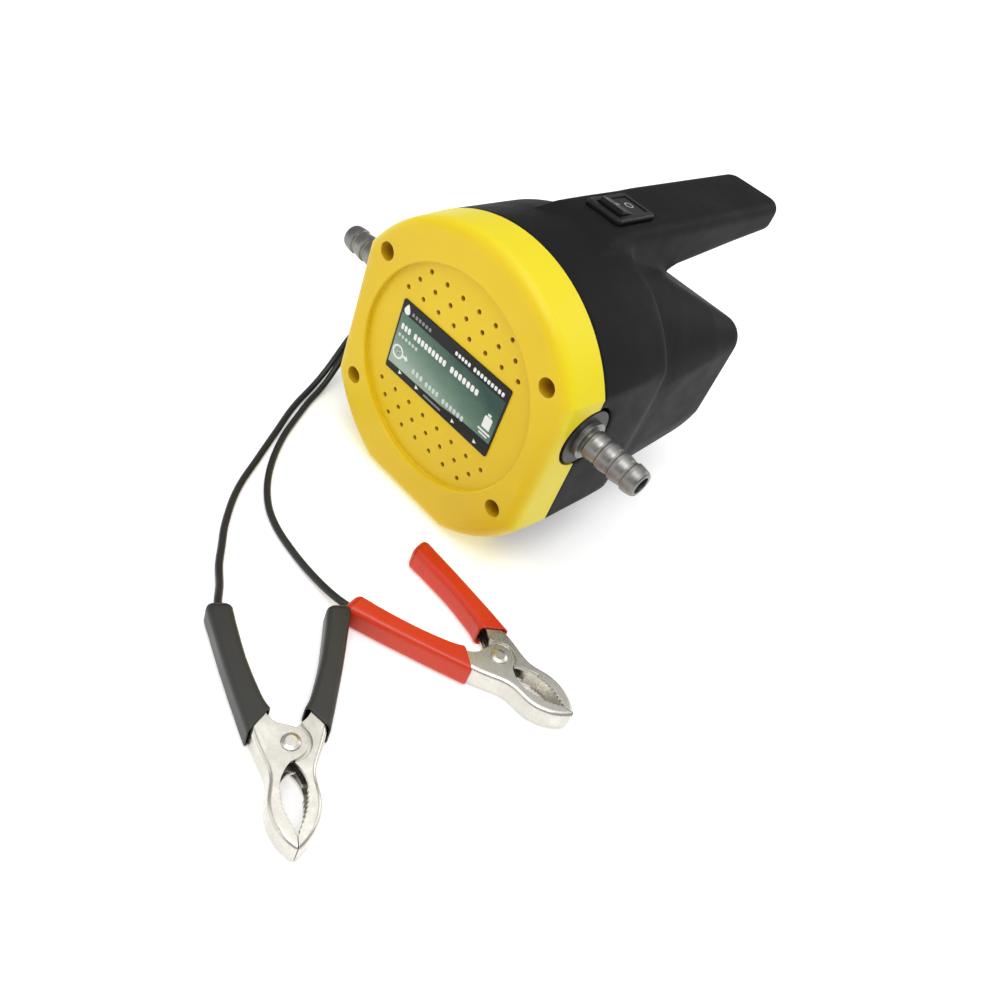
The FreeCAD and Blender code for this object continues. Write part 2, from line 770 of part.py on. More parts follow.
def pump_front_plate():
    body = new_body("pump_front_plate")
    pad(body, outlined(body, XZ, pump_outline(), GASKET_FACE), dim.plate_thick)
    pocket(body, disks(body, XZ, [(0, DRIVE_Z)], 4.5, PLATE_FACE))
    sketch = disks(body, XZ, [(0, DRIVEN_Z)], dim.idler_radius, PLATE_FACE)
    for x, z in PLATE_SCREWS:
        circle(sketch, x, z, 1.4)
    pocket(body, sketch)
    on_face = at_y(-float(PLATE_FACE))

    def outer_edge(edge, box, centre):
        return on_face(edge, box, centre) and max(box.XLength, box.ZLength) > 12

    dress(body, "Chamfer", outer_edge, 0.6)


def pump_screws():
    screws(
        "pump_plate_screws", PLATE_SCREWS, head_y=-PLATE_FACE, head_radius=2.5, head_tall=1.7,
        shank_radius=1.2, length=9.0, cross=0.8, dome=0.5,
    )
    screws(
        "motor_screws", MOTOR_SCREWS, head_y=MOTOR_SEAT - BLOCK_FACE, head_radius=2.45,
        head_tall=1.9, shank_radius=1.5, length=17.8, cross=0.8, dome=0.4,
    )
    screws(
        "pump_mount_screws", MOUNTS, head_y=dim.mount_front, head_radius=2.9, head_tall=1.9,
        shank_radius=dim.screw_core, length=18.0, cross=0.9, dome=0.5,
    )


def tube(start, end, inner, outer):
    """Profile of a plain bush."""
    return [(start, inner), (end, inner), (end, outer), (start, outer)]


def front_bush():
    body = new_body("front_bush", (0, 0, DRIVE_Z))
    turned(body, YZ, tube(-PLATE_FACE, -GASKET_FACE, dim.shaft_radius + dim.running, 4.5))


def shaft_seal():
    """Ring with a thin lip that meets the shaft."""
    body = new_body("shaft_seal", (0, 0, DRIVE_Z))
    shaft, front, back = dim.shaft_radius, dim.can_front - dim.seal_depth, 11.8
    turned(
        body,
        YZ,
        [
            (front, shaft + 1.6),
            (10.6, shaft + 0.6),
            (10.9, shaft + 0.02),
            (11.1, shaft + 0.02),
            (back, shaft + 1.2),
            (back, dim.seal_radius),
            (front, dim.seal_radius),
        ],
    )


def hose_tail(label, side, crest):
    """A tube with four shallow ridges; each rises gently to a land and drops."""
    body = new_body(label, (0, 0, dim.port_height))
    tip, neck = dim.tail_tip, crest - 0.5
    root_end, flange, flange_radius, ridge_pitch = 34.2, 49.0, 6.6, 5.2
    points = [
        (root_end, dim.port_bore),
        (tip, dim.port_bore),
        (tip, crest - 0.95),
        (tip - 0.4, crest - 0.6),
    ]
    for ridge in range(4):
        top = tip - 1.2 - ridge * ridge_pitch
        points += [(top, crest - 0.3), (top - 2.1, crest), (top - 3.3, crest), (top - 3.7, neck)]
        if ridge < 3:
            points += [(top - 4.5, neck)]
    points += [
        (flange, neck),
        (flange, flange_radius),
        (dim.collar_face, flange_radius),
        (dim.collar_face, dim.socket_radius),
        (root_end, dim.socket_radius),
    ]
    if side < 0:
        points = [(-x, radius) for x, radius in reversed(points)]
    turned(body, XZ, points)


def hose_tails():
    hose_tail("inlet_barb", -1, dim.inlet_crest)
    hose_tail("outlet_barb", 1, dim.outlet_crest)


def barb_orings():
    body = new_body("barb_orings", (0, 0, dim.port_height))
    for side in SIDES:
        revolve(body, disks(body, XZ, [(side * 46.3, 5.4)], 0.78))


def gear(label, centre_z, bore, gap_angle):
    """Involute spur gear; gap_angle is the angle of a tooth gap, in degrees."""
    module = float(dim.gear_module)
    pitch = GEAR_TEETH * module / 2
    pressure = math.radians(25)
    base = pitch * math.cos(pressure)
    tip, foot = pitch + 1.3, pitch - 1.6
    width = math.pi * module / 2 - 0.16

    def involute(angle):
        return math.tan(angle) - angle

    flank = []  # radius and half angle of the tooth there
    for radius in (
        foot, base + 0.02, base + 0.35, pitch - 0.25, pitch,
        pitch + 0.45, pitch + 0.9, tip, tip + 0.6,
    ):
        angle = math.acos(min(1.0, base / max(radius, base + 0.001)))
        flank.append((radius, width / (2 * pitch) + involute(pressure) - involute(angle)))
    body = new_body(label, (0, 0, centre_z))
    blank = disks(body, XZ, [(0, 0)], dim.gear_module * (tip / module), dim.gear_face / 2)
    circle(blank, 0, 0, bore)
    pad(body, blank, dim.gear_face, reverse=True)
    # a gap lies between two teeth, so its flanks are those of its neighbours
    middle, step = math.radians(gap_angle), math.pi / GEAR_TEETH
    right = [(radius, middle - step + half) for radius, half in flank]
    left = [(radius, middle + step - half) for radius, half in flank]
    polar = right[::-1] + [(foot - 0.06, middle)] + left
    points = [
        tuple(dim.gear_module * (radius * turn(angle) / module) for turn in (math.cos, math.sin))
        for radius, angle in polar
    ]
    gap = outlined(body, XZ, points, dim.gear_face / 2 + 1.0)
    ring(body, pocket(body, gap, dim.gear_face + 2.0), GEAR_TEETH)


def gears():
    gear("drive_gear", DRIVE_Z, dim.shaft_radius, 75.0)
    gear("driven_gear", DRIVEN_Z, dim.idler_radius + dim.running, 270.0)


def driven_gear_pin():
    body = new_body("driven_gear_pin", (0, 0, DRIVEN_Z))
    radius, front, bevel = dim.idler_radius, -PLATE_FACE, 0.3
    turned(
        body,
        YZ,
        [
            (front, 0.0), (IDLER_BACK, 0.0), (IDLER_BACK, radius),
            (front + bevel, radius), (front, radius - bevel),
        ],
    )


# --------------------------------------------------------------------- motor
def motor_shaft():
    body = new_body("motor_shaft", (0, 0, DRIVE_Z))
    radius, front, back, bevel = dim.shaft_radius, -8.3, 70.2, 0.3
    turned(
        body,
        YZ,
        [
            (front, 0.0), (back, 0.0), (back, radius - bevel),
            (back - bevel, radius), (front + bevel, radius), (front, radius - bevel),
        ],
    )


def motor_can():
    """Cup open to the rear, with a bearing pocket in its front wall."""
    body = new_body("motor_can", (0, 0, DRIVE_Z))
    can, front, back = dim.can_radius, dim.can_front, dim.can_back
    turned(
        body,
        YZ,
        [
            (front, dim.bearing_radius),
            (front + 4.6, dim.bearing_radius),
            (front + 4.6, 6.4),
            (front + 2.0, 6.4),
            (front + 2.0, can - dim.can_wall),
            (back, can - dim.can_wall),
            (back, can),
            (front + 0.8, can),
            (front, can - 0.8),
        ],
    )
    places = [(x, 0.0) for x, z in MOTOR_SCREWS]
    pocket(body, disks(body, XZ, places, dim.screw_core, -front), 3.0)


def motor_bearings():
    body = new_body("motor_bearings", (0, 0, DRIVE_Z))
    for start, end in ((12.2, 16.6), (65.4, 69.0)):
        turned(body, YZ, tube(start, end, dim.shaft_radius + dim.running, dim.bearing_radius))


def motor_magnets():
    """Two curved magnets on the inside of the can, left and right."""
    body = new_body("motor_magnets", (0, 0, DRIVE_Z))
    outer, inner = dim.can_radius - dim.can_wall, dim.can_radius - 3.4
    reach = math.radians(68)
    outer_x, outer_z = float(outer) * math.cos(reach), float(outer) * math.sin(reach)
    inner_x, inner_z = float(inner) * math.cos(reach), float(inner) * math.sin(reach)
    sketch = new_sketch(body, XZ, -22.0)
    for side in SIDES:
        loop(
            sketch,
            [
                (side * outer_x, -side * outer_z, outer),
                (side * outer, 0.0, outer),
                (side * outer_x, side * outer_z),
                (side * inner_x, side * inner_z, -inner),
                (side * inner, 0.0, -inner),
                (side * inner_x, -side * inner_z),
            ],
        )
    pad(body, sketch, 32.0, reverse=True)


ARMATURE_POLES = 5


def armature_core():
    body = new_body("armature_core", (0, 0, DRIVE_Z))
    start, length = 24.0, 28.0
    sketch = disks(body, XZ, [(0, 0)], dim.can_radius - 4.1, -start)
    circle(sketch, 0, 0, dim.shaft_radius)
    pad(body, sketch, length, reverse=True)
    slot = [
        (8.0, -3.0), (14.6, -5.6), (15.2, -1.1), (17.6, -1.1),
        (17.6, 1.1), (15.2, 1.1), (14.6, 5.6), (8.0, 3.0),
    ]
    ring(body, pocket(body, outlined(body, XZ, slot, -start), length), ARMATURE_POLES)


def armature_windings():
    """Front and rear end turns joined by a bar in each slot."""
    body = new_body("armature_windings", (0, 0, DRIVE_Z))
    front = [(18.6, 7.0), (19.8, 5.6), (24.0, 5.6), (24.0, 14.6), (20.4, 14.6), (18.6, 12.6)]
    rear = [(52.0, 5.6), (56.2, 5.6), (57.4, 7.0), (57.4, 12.6), (55.6, 14.6), (52.0, 14.6)]
    turned(body, YZ, front)
    turned(body, YZ, rear)
    bar = outlined(body, XZ, [(8.2, -2.7), (14.3, -5.1), (14.3, 5.1), (8.2, 2.7)], -23.9)
    ring(body, pad(body, bar, 28.2, reverse=True), ARMATURE_POLES)


def commutator():
    body = new_body("commutator", (0, 0, DRIVE_Z))
    front, step, back = 57.6, 59.0, 64.6
    turned(
        body,
        YZ,
        [
            (front, dim.shaft_radius), (back, dim.shaft_radius), (back, 5.4),
            (step, 5.4), (step, 6.4), (front, 6.4),
        ],
    )


def motor_end_cap():
    """Rear cap of the can with a holder for each brush."""
    body = new_body("motor_end_cap", (0, 0, DRIVE_Z))
    can, back, inside, seat = dim.can_radius, dim.can_back, 64.9, 65.4
    turned(
        body,
        YZ,
        [
            (inside, 6.5),
            (inside, can - 1.25),
            (back, can - 1.25),
            (back, can),
            (back + 2.2, can),
            (CAP_BACK, can - 0.8),
            (CAP_BACK, dim.bearing_radius),
            (seat, dim.bearing_radius),
            (seat, 5.6),
            (inside, 5.6),
        ],
    )
    holder_front = 59.4
    for side in SIDES:
        holder = (*span(side, 7.2, 15.2), -3.4, 3.4)
        pad(body, boxes(body, XZ, [holder], -holder_front), 5.6, reverse=True)
        channel = (*span(side, 6.8, 14.0), -2.1, 2.1)
        pocket(body, boxes(body, XZ, [channel], -holder_front), 4.4)


def carbon_brushes():
    body = new_body("carbon_brushes", (0, 0, DRIVE_Z))
    for side in SIDES:
        block = (*span(side, dim.shaft_radius + 2.95, 12.0), -2.0, 2.0)
        pad(body, boxes(body, XZ, [block], -59.6), 4.0, reverse=True)


def motor_terminals():
    body = new_body("motor_terminals", (0, 0, DRIVE_Z))
    for side in SIDES:
        blade = (*span(side, 11.0, 11.8), -2.4, 2.4)
        pad(body, boxes(body, XZ, [blade], -CAP_BACK), 6.5, reverse=True)


# -------------------------------------------------------------------- switch
def switch_housing():
    body = new_body("switch_housing", (0, dim.switch_y, SWITCH_BASE))
    bezel = 2.2  # bezel height
    wide, long = dim.switch_wide / 2, dim.switch_long / 2
    pad(body, boxes(body, XY, [(-wide, wide, -long, long)]), bezel)
    dress(body, "Fillet", lambda edge, box, centre: box.ZLength > 1 and box.XLength < 0.01, 1.4)
    dress(body, "Fillet", lambda edge, box, centre: abs(box.ZMin - bezel) < 0.02, 0.9)
    pad(body, boxes(body, XY, [(-6.4, 6.4, -9.5, 9.5)]), dim.switch_body, reverse=True)
    pocket(body, boxes(body, XY, [(-5.2, 5.2, -8.3, 8.3)], bezel), 11.0)
    pocket(body, disks(body, YZ, [(0.0, -ROCKER_DROP)], 1.06), 11.8, symmetric=True)


def switch_rocker():
    """Tilted rocker with its pivot pin; the body's origin is on the pivot."""
    body = new_body("switch_rocker", (0, dim.switch_y, SWITCH_BASE - ROCKER_DROP))
    half_wide = 5.0
    # side view as (y, z), with the radius of the one arc
    profile = [
        (7.70, 2.35), (0.35, 2.48), (-6.76, 4.38), (-7.17, 0.0),
        (-5.48, -4.48, 7.08), (4.03, -5.82), (6.89, -1.98),
    ]
    pad(body, outlined(body, YZ, profile), 2 * half_wide, symmetric=True)

    def top_side(edge, box, centre):
        return abs(abs(centre.x) - half_wide) < 0.02 and box.XLength < 0.02 and centre.z > 2.0

    dress(body, "Fillet", top_side, 0.5)
    pad(body, disks(body, YZ, [(0.0, 0.0)], 1.0), 11.6, symmetric=True)


def switch_terminals():
    body = new_body("switch_terminals", (0, dim.switch_y, SWITCH_BASE - dim.switch_body))
    for y in (-5.0, 5.0):
        pad(body, boxes(body, XY, [(-2.4, 2.4, y - 0.4, y + 0.4)]), 8.0, reverse=True)


def cable_gland():
    """Grommet through the left wall, with a flange on each side and a snout."""
    body = new_body("cable_gland", (0, dim.gland_y, dim.gland_z))
    outside, bore = -dim.flat_half, 2.86
    inside = outside + dim.wall
    turned(
        body,
        XZ,
        [
            (inside + 1.4, bore),
            (inside + 1.4, 4.7),
            (inside, 4.7),
            (inside, dim.gland_radius),
            (outside, dim.gland_radius),
            (outside, 5.6),
            (outside - 1.6, 5.6),
            (outside - 2.2, 4.4),
            (outside - 8.0, 3.5),
            (outside - 8.0, bore),
        ],
    )


# --------------------------------------------------------------------- leads
def add_shape(label, shape, place=None):
    part = doc.addObject("Part::Feature", label)
    part.Label = label
    part.Shape = shape
    if place is not None:
        part.Placement = place
    PARTS.append(part)


def pipe_solid(spine, radius, start, along, frenet):
    """Sweep a circle at start, square to along, down the spine."""
    pipe = Part.BRepOffsetAPI.MakePipeShell(spine)
    pipe.setFrenetMode(frenet)
    pipe.add(Part.Wire([Part.makeCircle(float(radius), start, along)]))
    pipe.build()
    pipe.makeSolid()
    return pipe.shape()


def swept(points, radius):
    """A round lead along a smooth curve through the points."""
    curve = smooth([Vector(*p) for p in points])
    first = curve.FirstParameter
    spine = Part.Wire([curve.toShape()])
    return pipe_solid(spine, radius, curve.value(first), curve.tangent(first)[0], False)


# clamps as pivot x, pivot y and direction
NEG_CLAMP = (dim.neg_x, dim.neg_y, dim.neg_turn)
POS_CLAMP = (dim.pos_x, dim.pos_y, dim.pos_turn)


def from_clamp(clamp, point):
    """A point of the clamp's own frame, in the frame of the machine."""
    pivot_x, pivot_y, turn = [float(value) for value in clamp]
    x, y, z = point
    cos, sin = math.cos(math.radians(turn)), math.sin(math.radians(turn))
    return (pivot_x + x * cos - y * sin, pivot_y + x * sin + y * cos, float(dim.clamp_plane) + z)


GLAND_Y, GLAND_Z = float(dim.gland_y), float(dim.gland_z)
LEAD_GROUND = float(dim.lead_radius) + 0.15  # centre of a lead lying on the ground
# centre line of the pair where the two leads run side by side
TWIN = [
    (-40.0, GLAND_Y, GLAND_Z),
    (-48.0, GLAND_Y, GLAND_Z),
    (-55.4, GLAND_Y, GLAND_Z - 0.05),
    (-60.0, GLAND_Y - 1.8, GLAND_Z - 2.4),
    (-63.4, GLAND_Y - 6.6, GLAND_Z - 8.6),
    (-64.2, GLAND_Y - 14.0, GLAND_Z - 18.6),
    (-62.3, GLAND_Y - 22.0, GLAND_Z - 27.6),
]
# each lead after they part: x, y and rise above LEAD_GROUND
NEG_RUN = [
    (-60.6, -11.0, 1.2), (-57.4, -18.4, 0.1), (-52.6, -27.3, 0.0), (-46.1, -37.2, 0.0),
    (-39.8, -46.9, 0.0), (-34.4, -55.1, 0.0), (-29.4, -62.8, 0.0), (-23.8, -70.0, 0.0),
    (-17.4, -76.6, 0.0), (-10.6, -82.5, 0.0), (-3.6, -87.9, 0.3), (3.6, -92.9, 1.0),
    (8.9, -96.2, 2.3),
]
POS_RUN = [
    (-57.6, -9.9, 1.4), (-54.4, -17.2, 0.2), (-49.4, -25.9, 0.0), (-43.0, -36.2, 0.0),
    (-36.0, -45.3, 0.0), (-28.2, -53.4, 0.0), (-20.8, -59.2, 0.0), (-14.2, -62.9, 0.0),
    (-6.2, -65.5, 0.0), (3.4, -66.9, 0.1), (12.8, -67.6, 0.5), (21.9, -67.8, 1.4),
]
# into the grip, in the frame of the clamp
NEG_ENTRY = [(-48.0, -17.3, -0.1), (-44.0, -16.9, 0.0), (-36.5, -15.5, 0.0)]
POS_ENTRY = [(-48.5, -17.0, -0.3), (-44.0, -16.9, 0.0), (-36.5, -15.5, 0.0)]


def strand(sign):
    """One lead of the pair, beside the centre line in the horizontal plane."""
    shift = sign * (float(dim.lead_radius) + 0.13)
    points = []
    for i, (x, y, z) in enumerate(TWIN):
        before, after = TWIN[max(i - 1, 0)], TWIN[min(i + 1, len(TWIN) - 1)]
        along_x, along_y = after[0] - before[0], after[1] - before[1]
        size = math.hypot(along_x, along_y)
        points.append((x - shift * along_y / size, y + shift * along_x / size, z))
    return points


def leads():
    for label, sign, run, clamp, entry in (
        ("negative_lead", -1, NEG_RUN, NEG_CLAMP, NEG_ENTRY),
        ("positive_lead", 1, POS_RUN, POS_CLAMP, POS_ENTRY),
    ):
        on_ground = [(x, y, LEAD_GROUND + rise) for x, y, rise in run]
        in_grip = [from_clamp(clamp, point) for point in entry]
        add_shape(label, swept(strand(sign) + on_ground + in_grip, dim.lead_radius))


def internal_wires():
    supply_to_switch = [
        (-39.4, GLAND_Y - 1.3, GLAND_Z + 0.2), (-34.8, GLAND_Y + 1.5, GLAND_Z + 3.4),
        (-30.5, 34.0, 47.0), (-26.5, 38.0, 68.0), (-9.0, 41.0, 80.0), (0.0, 41.0, 83.2),
    ]
    switch_to_motor = [
        (0.0, 51.0, 83.2), (4.0, 56.0, 80.0), (10.0, 66.0, 78.8), (15.0, 76.5, 70.0),
        (13.9, 77.6, 60.0), (12.8, float(CAP_BACK) + 4.0, 54.6),
    ]
    motor_to_supply = [
        (-39.4, GLAND_Y + 1.3, GLAND_Z - 0.2), (-35.2, GLAND_Y + 4.5, GLAND_Z - 0.2),
        (-31.5, 33.5, 35.0), (-29.5, 47.0, 36.4), (-27.5, 66.0, 41.0), (-20.0, 78.0, 47.0),
        (-13.4, 77.0, 51.0),
    ]
    paths = (supply_to_switch, switch_to_motor, motor_to_supply)
    add_shape("internal_wires", Part.makeCompound([swept(path, 0.8) for path in paths]))


# -------------------------------------------------------------------- clamps
# A clamp's own frame: pivot at the origin, nose on +x, handles on -x. The
# (x, y) tables give the moving lever; the fixed lever has y negated.
FIXED, MOVING = -1, 1
NOSE = 27.6
# outer edge of a lever, nose to handle end
SPINE = [
    (NOSE, 0.75), (26.4, 2.15), (24.7, 3.65), (22.5, 5.05), (19.9, 6.15), (17.2, 6.75),
    (14.4, 6.8), (11.8, 6.4), (9.4, 6.1), (7.0, 6.3), (4.4, 7.1), (1.0, 8.4),
    (-4.0, 9.95), (-12.0, 12.3), (-26.0, 16.0), (-41.0, 19.4),
]
# inner edge of the handle, end to pivot
INNER = [(-41.0, 14.4), (-26.0, 11.0), (-12.0, 7.1), (-7.6, 5.2), (-5.6, 3.1)]
# curve from the ear to the bite
EYE = [(6.6, 1.45), (8.6, 2.65), (10.8, 3.4)]
# mean line of the fine teeth along the inside of the bite
BITE = [(12.4, 3.65), (15.5, 3.55), (18.0, 3.05), (20.0, 2.35), (22.0, 1.4), (23.7, 0.62)]
# runs round the pivot, from the inner edge to the eye curve
OUTER_EAR = [
    (*INNER[-1], [(-4.9, 0.4)]),
    (-3.4, -3.1, [(-2.0, -4.15), (0.0, -4.6), (1.9, -4.2)]),
    (3.2, -3.3, [(4.5, -1.5)]),
    (5.3, 0.25, EYE),
]
# stays clear of the other lever's ears
CLEAR_OF_EAR = [
    (*INNER[-1], [(-4.2, 3.9), (-2.2, 5.1), (0.0, 5.55), (2.3, 5.05), (4.3, 3.5), (5.3, 1.7)]),
    (5.55, 0.55, EYE),
]
INNER_EAR = [
    (-6.4, 4.6),
    (-4.35, 1.5, [(-4.6, 0.0), (-3.25, -3.25), (0.0, -4.6), (3.25, -3.25), (4.6, 0.0)]),
    (5.0, 1.5),
    (9.0, 3.2),
    (9.0, 5.6),
    (0.0, 7.6),
    (-8.6, 10.2),
    (-8.6, 6.6),
]


def bite_height(x):
    for (x0, y0), (x1, y1) in zip(BITE, BITE[1:]):
        if x <= x1 + 1e-9:
            return y0 + (y1 - y0) * (x - x0) / (x1 - x0)


def tooth_points():
    """Zigzag along the bite, then the point where it ends before the nose."""
    first, last, steps = BITE[0][0], BITE[-1][0], 18
    points = []
    for n in range(steps + 1):
        x = first + n * (last - first) / steps
        points.append((x, bite_height(x) - (0.42 if n % 2 else 0.0)))
    return points + [(24.5, 0.12)]


def flipped(points, side):
    """Outline points with y times side, those inside curves included."""
    return [(p[0], side * p[1]) + tuple(flipped(run, side) for run in p[2:]) for p in points]


def offset_curve(points, gap, count):
    """Points at a gap to the left of a smooth curve through the points."""
    curve = smooth([flat(p) for p in points])
    first, last = curve.FirstParameter, curve.LastParameter
    moved = []
    for i in range(count + 1):
        at = first + (last - first) * i / count
        tangent = curve.tangent(at)[0]
        point = curve.value(at) + Vector(-tangent.y, tangent.x, 0) * gap
        moved.append((point.x, point.y))
    return moved


def clamp_body(label, clamp):
    x, y, turn = clamp
    return new_body(label, (x, y, dim.clamp_plane), turn)


def jaw(label, clamp, side):
    """One lever of a clamp, a channel with its spine outwards. The fixed lever
    carries its ears on the flanges, the moving one on an inner step."""
    body = clamp_body(label, clamp)
    fixed = side == FIXED
    shape = [(*SPINE[0], SPINE[1:-1]), SPINE[-1], (*INNER[0], INNER[1:-1])]
    shape += OUTER_EAR if fixed else CLEAR_OF_EAR
    shape += tooth_points() + [(NOSE, 0.12)]
    pad(body, outlined(body, XY, flipped(shape, side)), 2 * dim.jaw_half, symmetric=True)
    on_flat = at_levels(dim.jaw_half)

    def spine_edge(edge, box, centre):
        near, far = edge.valueAt(edge.FirstParameter), edge.valueAt(edge.LastParameter)
        return on_flat(box) and abs(near.x - far.x) > 60

    dress(body, "Fillet", spine_edge, 1.3)
    # hollow between the flanges, open at the handle end
    line = offset_curve(SPINE, float(dim.jaw_sheet), 24)
    line = [(x, y) for x, y in line if x < NOSE - 1.6 and y > 1.0]
    open_end = -42.5
    hollow = [
        (*line[0], line[1:-1]),
        (open_end, line[-1][1] + 0.32),
        (open_end, 13.5),
        (-12.0, 5.5),
        (-8.0, -6.5),
        (line[0][0], -6.5),
    ]
    sketch = outlined(body, XY, flipped(hollow, side))
    pocket(body, sketch, 2 * (dim.jaw_half - dim.jaw_sheet), symmetric=True)
    if not fixed:
        ear_thick = 0.85
        for up in (1, -1):
            ear = outlined(body, XY, flipped(INNER_EAR, side), up * (dim.ear_level - ear_thick))
            tall = dim.jaw_half - dim.jaw_sheet - dim.ear_level + ear_thick
            pad(body, ear, tall, reverse=up < 0)
            # step down to the ear's outside face
            relief = disks(body, XY, [(0.0, 0.0)], 5.3, up * dim.ear_level)
            pocket(body, relief, 1.0, reverse=up < 0)
    radius = dim.rivet_radius if fixed else dim.rivet_radius + 0.05
    pocket(body, disks(body, XY, [(0.0, 0.0)], radius, dim.jaw_half + 1.0))


# outline of a grip sleeve: outer side, closed end and inner side
SLEEVE_OUTSIDE = [(-3.4, 10.8), (-12.0, 13.25), (-26.0, 16.95), (-41.5, 20.4)]
SLEEVE_END = [(-42.9, 19.5), (-43.6, 17.0), (-43.1, 14.5)]
SLEEVE_INSIDE = [(-41.5, 13.3), (-26.0, 10.1), (-16.0, 7.15), (-12.6, 5.75), (-10.6, 4.6)]


def grip(label, clamp, side):
    """Soft sleeve over a handle: a closed-ended sock. The fixed one has a hole
    for the lead."""
    body = clamp_body(label, clamp)
    shape = [
        (*SLEEVE_OUTSIDE[0], SLEEVE_OUTSIDE[1:-1]),
        (*SLEEVE_OUTSIDE[-1], SLEEVE_END),
        (*SLEEVE_INSIDE[0], SLEEVE_INSIDE[1:-1]),
        SLEEVE_INSIDE[-1],
    ]
    pad(body, outlined(body, XY, flipped(shape, side)), 2 * dim.sleeve_half, symmetric=True)
    on_flat = at_levels(dim.sleeve_half)

    def long_or_curved(edge, box, centre):
        return on_flat(box) and (edge.Length > 25 or edge.Curve.TypeId != "Part::GeomLine")

    dress(body, "Fillet", long_or_curved, 1.9)
    # room for the handle inside
    spine = [(x, y + 0.14) for x, y in SPINE if x < 2]
    inside = [(x, y - 0.26) for x, y in INNER[:-1]]
    room = [
        (*spine[0], spine[1:-1]),
        spine[-1],
        (-41.6, 19.6),
        (-41.6, 14.2),
        (*inside[0], inside[1:-1]),
        inside[-1],
        (-4.0, 4.0),
    ]
    sketch = outlined(body, XY, flipped(room, side))
    pocket(body, sketch, 2 * dim.jaw_half + 0.04, symmetric=True)
    if side == FIXED:
        hole = disks(body, YZ, [(side * 16.7, 0.0)], dim.lead_radius + 0.45, -46.0)
        pocket(body, hole, 6.0, reverse=True)


def rivet(label, clamp):
    body = clamp_body(label, clamp)
    shank, top = dim.rivet_radius, dim.jaw_half
    # one head as (radius, height above the flange), middle to rim
    head = [(0.0, 0.7), (1.6, 0.7), (2.5, 0.35), (2.7, 0.0)]
    lower = [(radius, -top - rise) for radius, rise in head]
    upper = [(radius, top + rise) for radius, rise in reversed(head)]
    turned(body, XZ, lower + [(shank, -top), (shank, top)] + upper, axis="V_Axis")


def spring(label, clamp):
    """Torsion spring round the rivet, one leg along each handle."""
    wire, coil, pitch, turns = 0.42, 2.45, 0.88, 3.5
    tall = pitch * turns
    helix = Part.makeHelix(pitch, tall, coil)
    helix.translate(Vector(0, 0, -tall / 2))
    helix.rotate(Vector(0, 0, 0), Vector(0, 0, 1), -90)
    low_end, high_end = Vector(0, -coil, -tall / 2), Vector(0, coil, tall / 2)
    along = Vector(coil, 0, pitch / (2 * math.pi))
    shape = pipe_solid(Part.Wire(helix.Edges), wire, low_end, along, True)
    # the legs run back between the handles, inside the channels
    legs = []
    for start, tip in (
        (low_end, Vector(-9.5, -10.0, -tall / 2)),
        (high_end, Vector(-9.5, 10.0, tall / 2)),
    ):
        run = tip - start
        legs.append(Part.makeCylinder(wire, run.Length, start, run))
        legs.append(Part.makeSphere(wire, start))
    for leg in legs:
        shape = shape.fuse(leg)
    x, y, turn = [float(value) for value in clamp]
    rotation = FreeCAD.Rotation(Vector(0, 0, 1), turn)
    add_shape(label, shape, FreeCAD.Placement(Vector(x, y, float(dim.clamp_plane)), rotation))


def clamps():
    for tag, clamp in (("neg", NEG_CLAMP), ("pos", POS_CLAMP)):
        jaw(tag + "_fixed_jaw", clamp, FIXED)
        jaw(tag + "_moving_jaw", clamp, MOVING)
        grip(tag + "_fixed_grip", clamp, FIXED)
        grip(tag + "_moving_grip", clamp, MOVING)
        rivet(tag + "_rivet", clamp)
        spring(tag + "_spring", clamp)


# -------------------------------------------------------------------- output
def export_parts():
    doc.recompute()
    for obj in doc.Objects:
        if "Invalid" in obj.State or "Error" in obj.State:
            raise RuntimeError("%s failed: %s" % (obj.Label, obj.State))
    for part in PARTS:
        if part.Shape.isNull() or not part.Shape.isValid() or not part.Shape.Solids:
            raise RuntimeError("%s has no valid shape" % part.Label)
    os.makedirs("parts", exist_ok=True)
    for part in PARTS:
        part.Shape.exportStep("parts/%s.step" % part.Label)


for build in (
    front_cover, front_label, cover_screws, housing,
    pump_body, pump_gasket, pump_front_plate, pump_screws, front_bush, shaft_seal,
    hose_tails, barb_orings, gears, driven_gear_pin,
    motor_shaft, motor_can, motor_bearings, motor_magnets, armature_core,
    armature_windings, commutator, motor_end_cap, carbon_brushes, motor_terminals,
    switch_housing, switch_rocker, switch_terminals, cable_gland,
    leads, internal_wires, clamps,
):
    build()
export_parts()
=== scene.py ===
"""A small electric transfer pump with two battery clamps, standing on a pale floor.

Z is up and the floor is z = 0. The pump lies along Y with its yellow cover and label
towards -Y. The clamps lie flat on the +X side. Lengths are in metres unless a name
or comment says mm.
"""

import math
from functools import cached_property

import bmesh
import bpy
import numpy as np
from mathutils import Matrix, Vector, noise

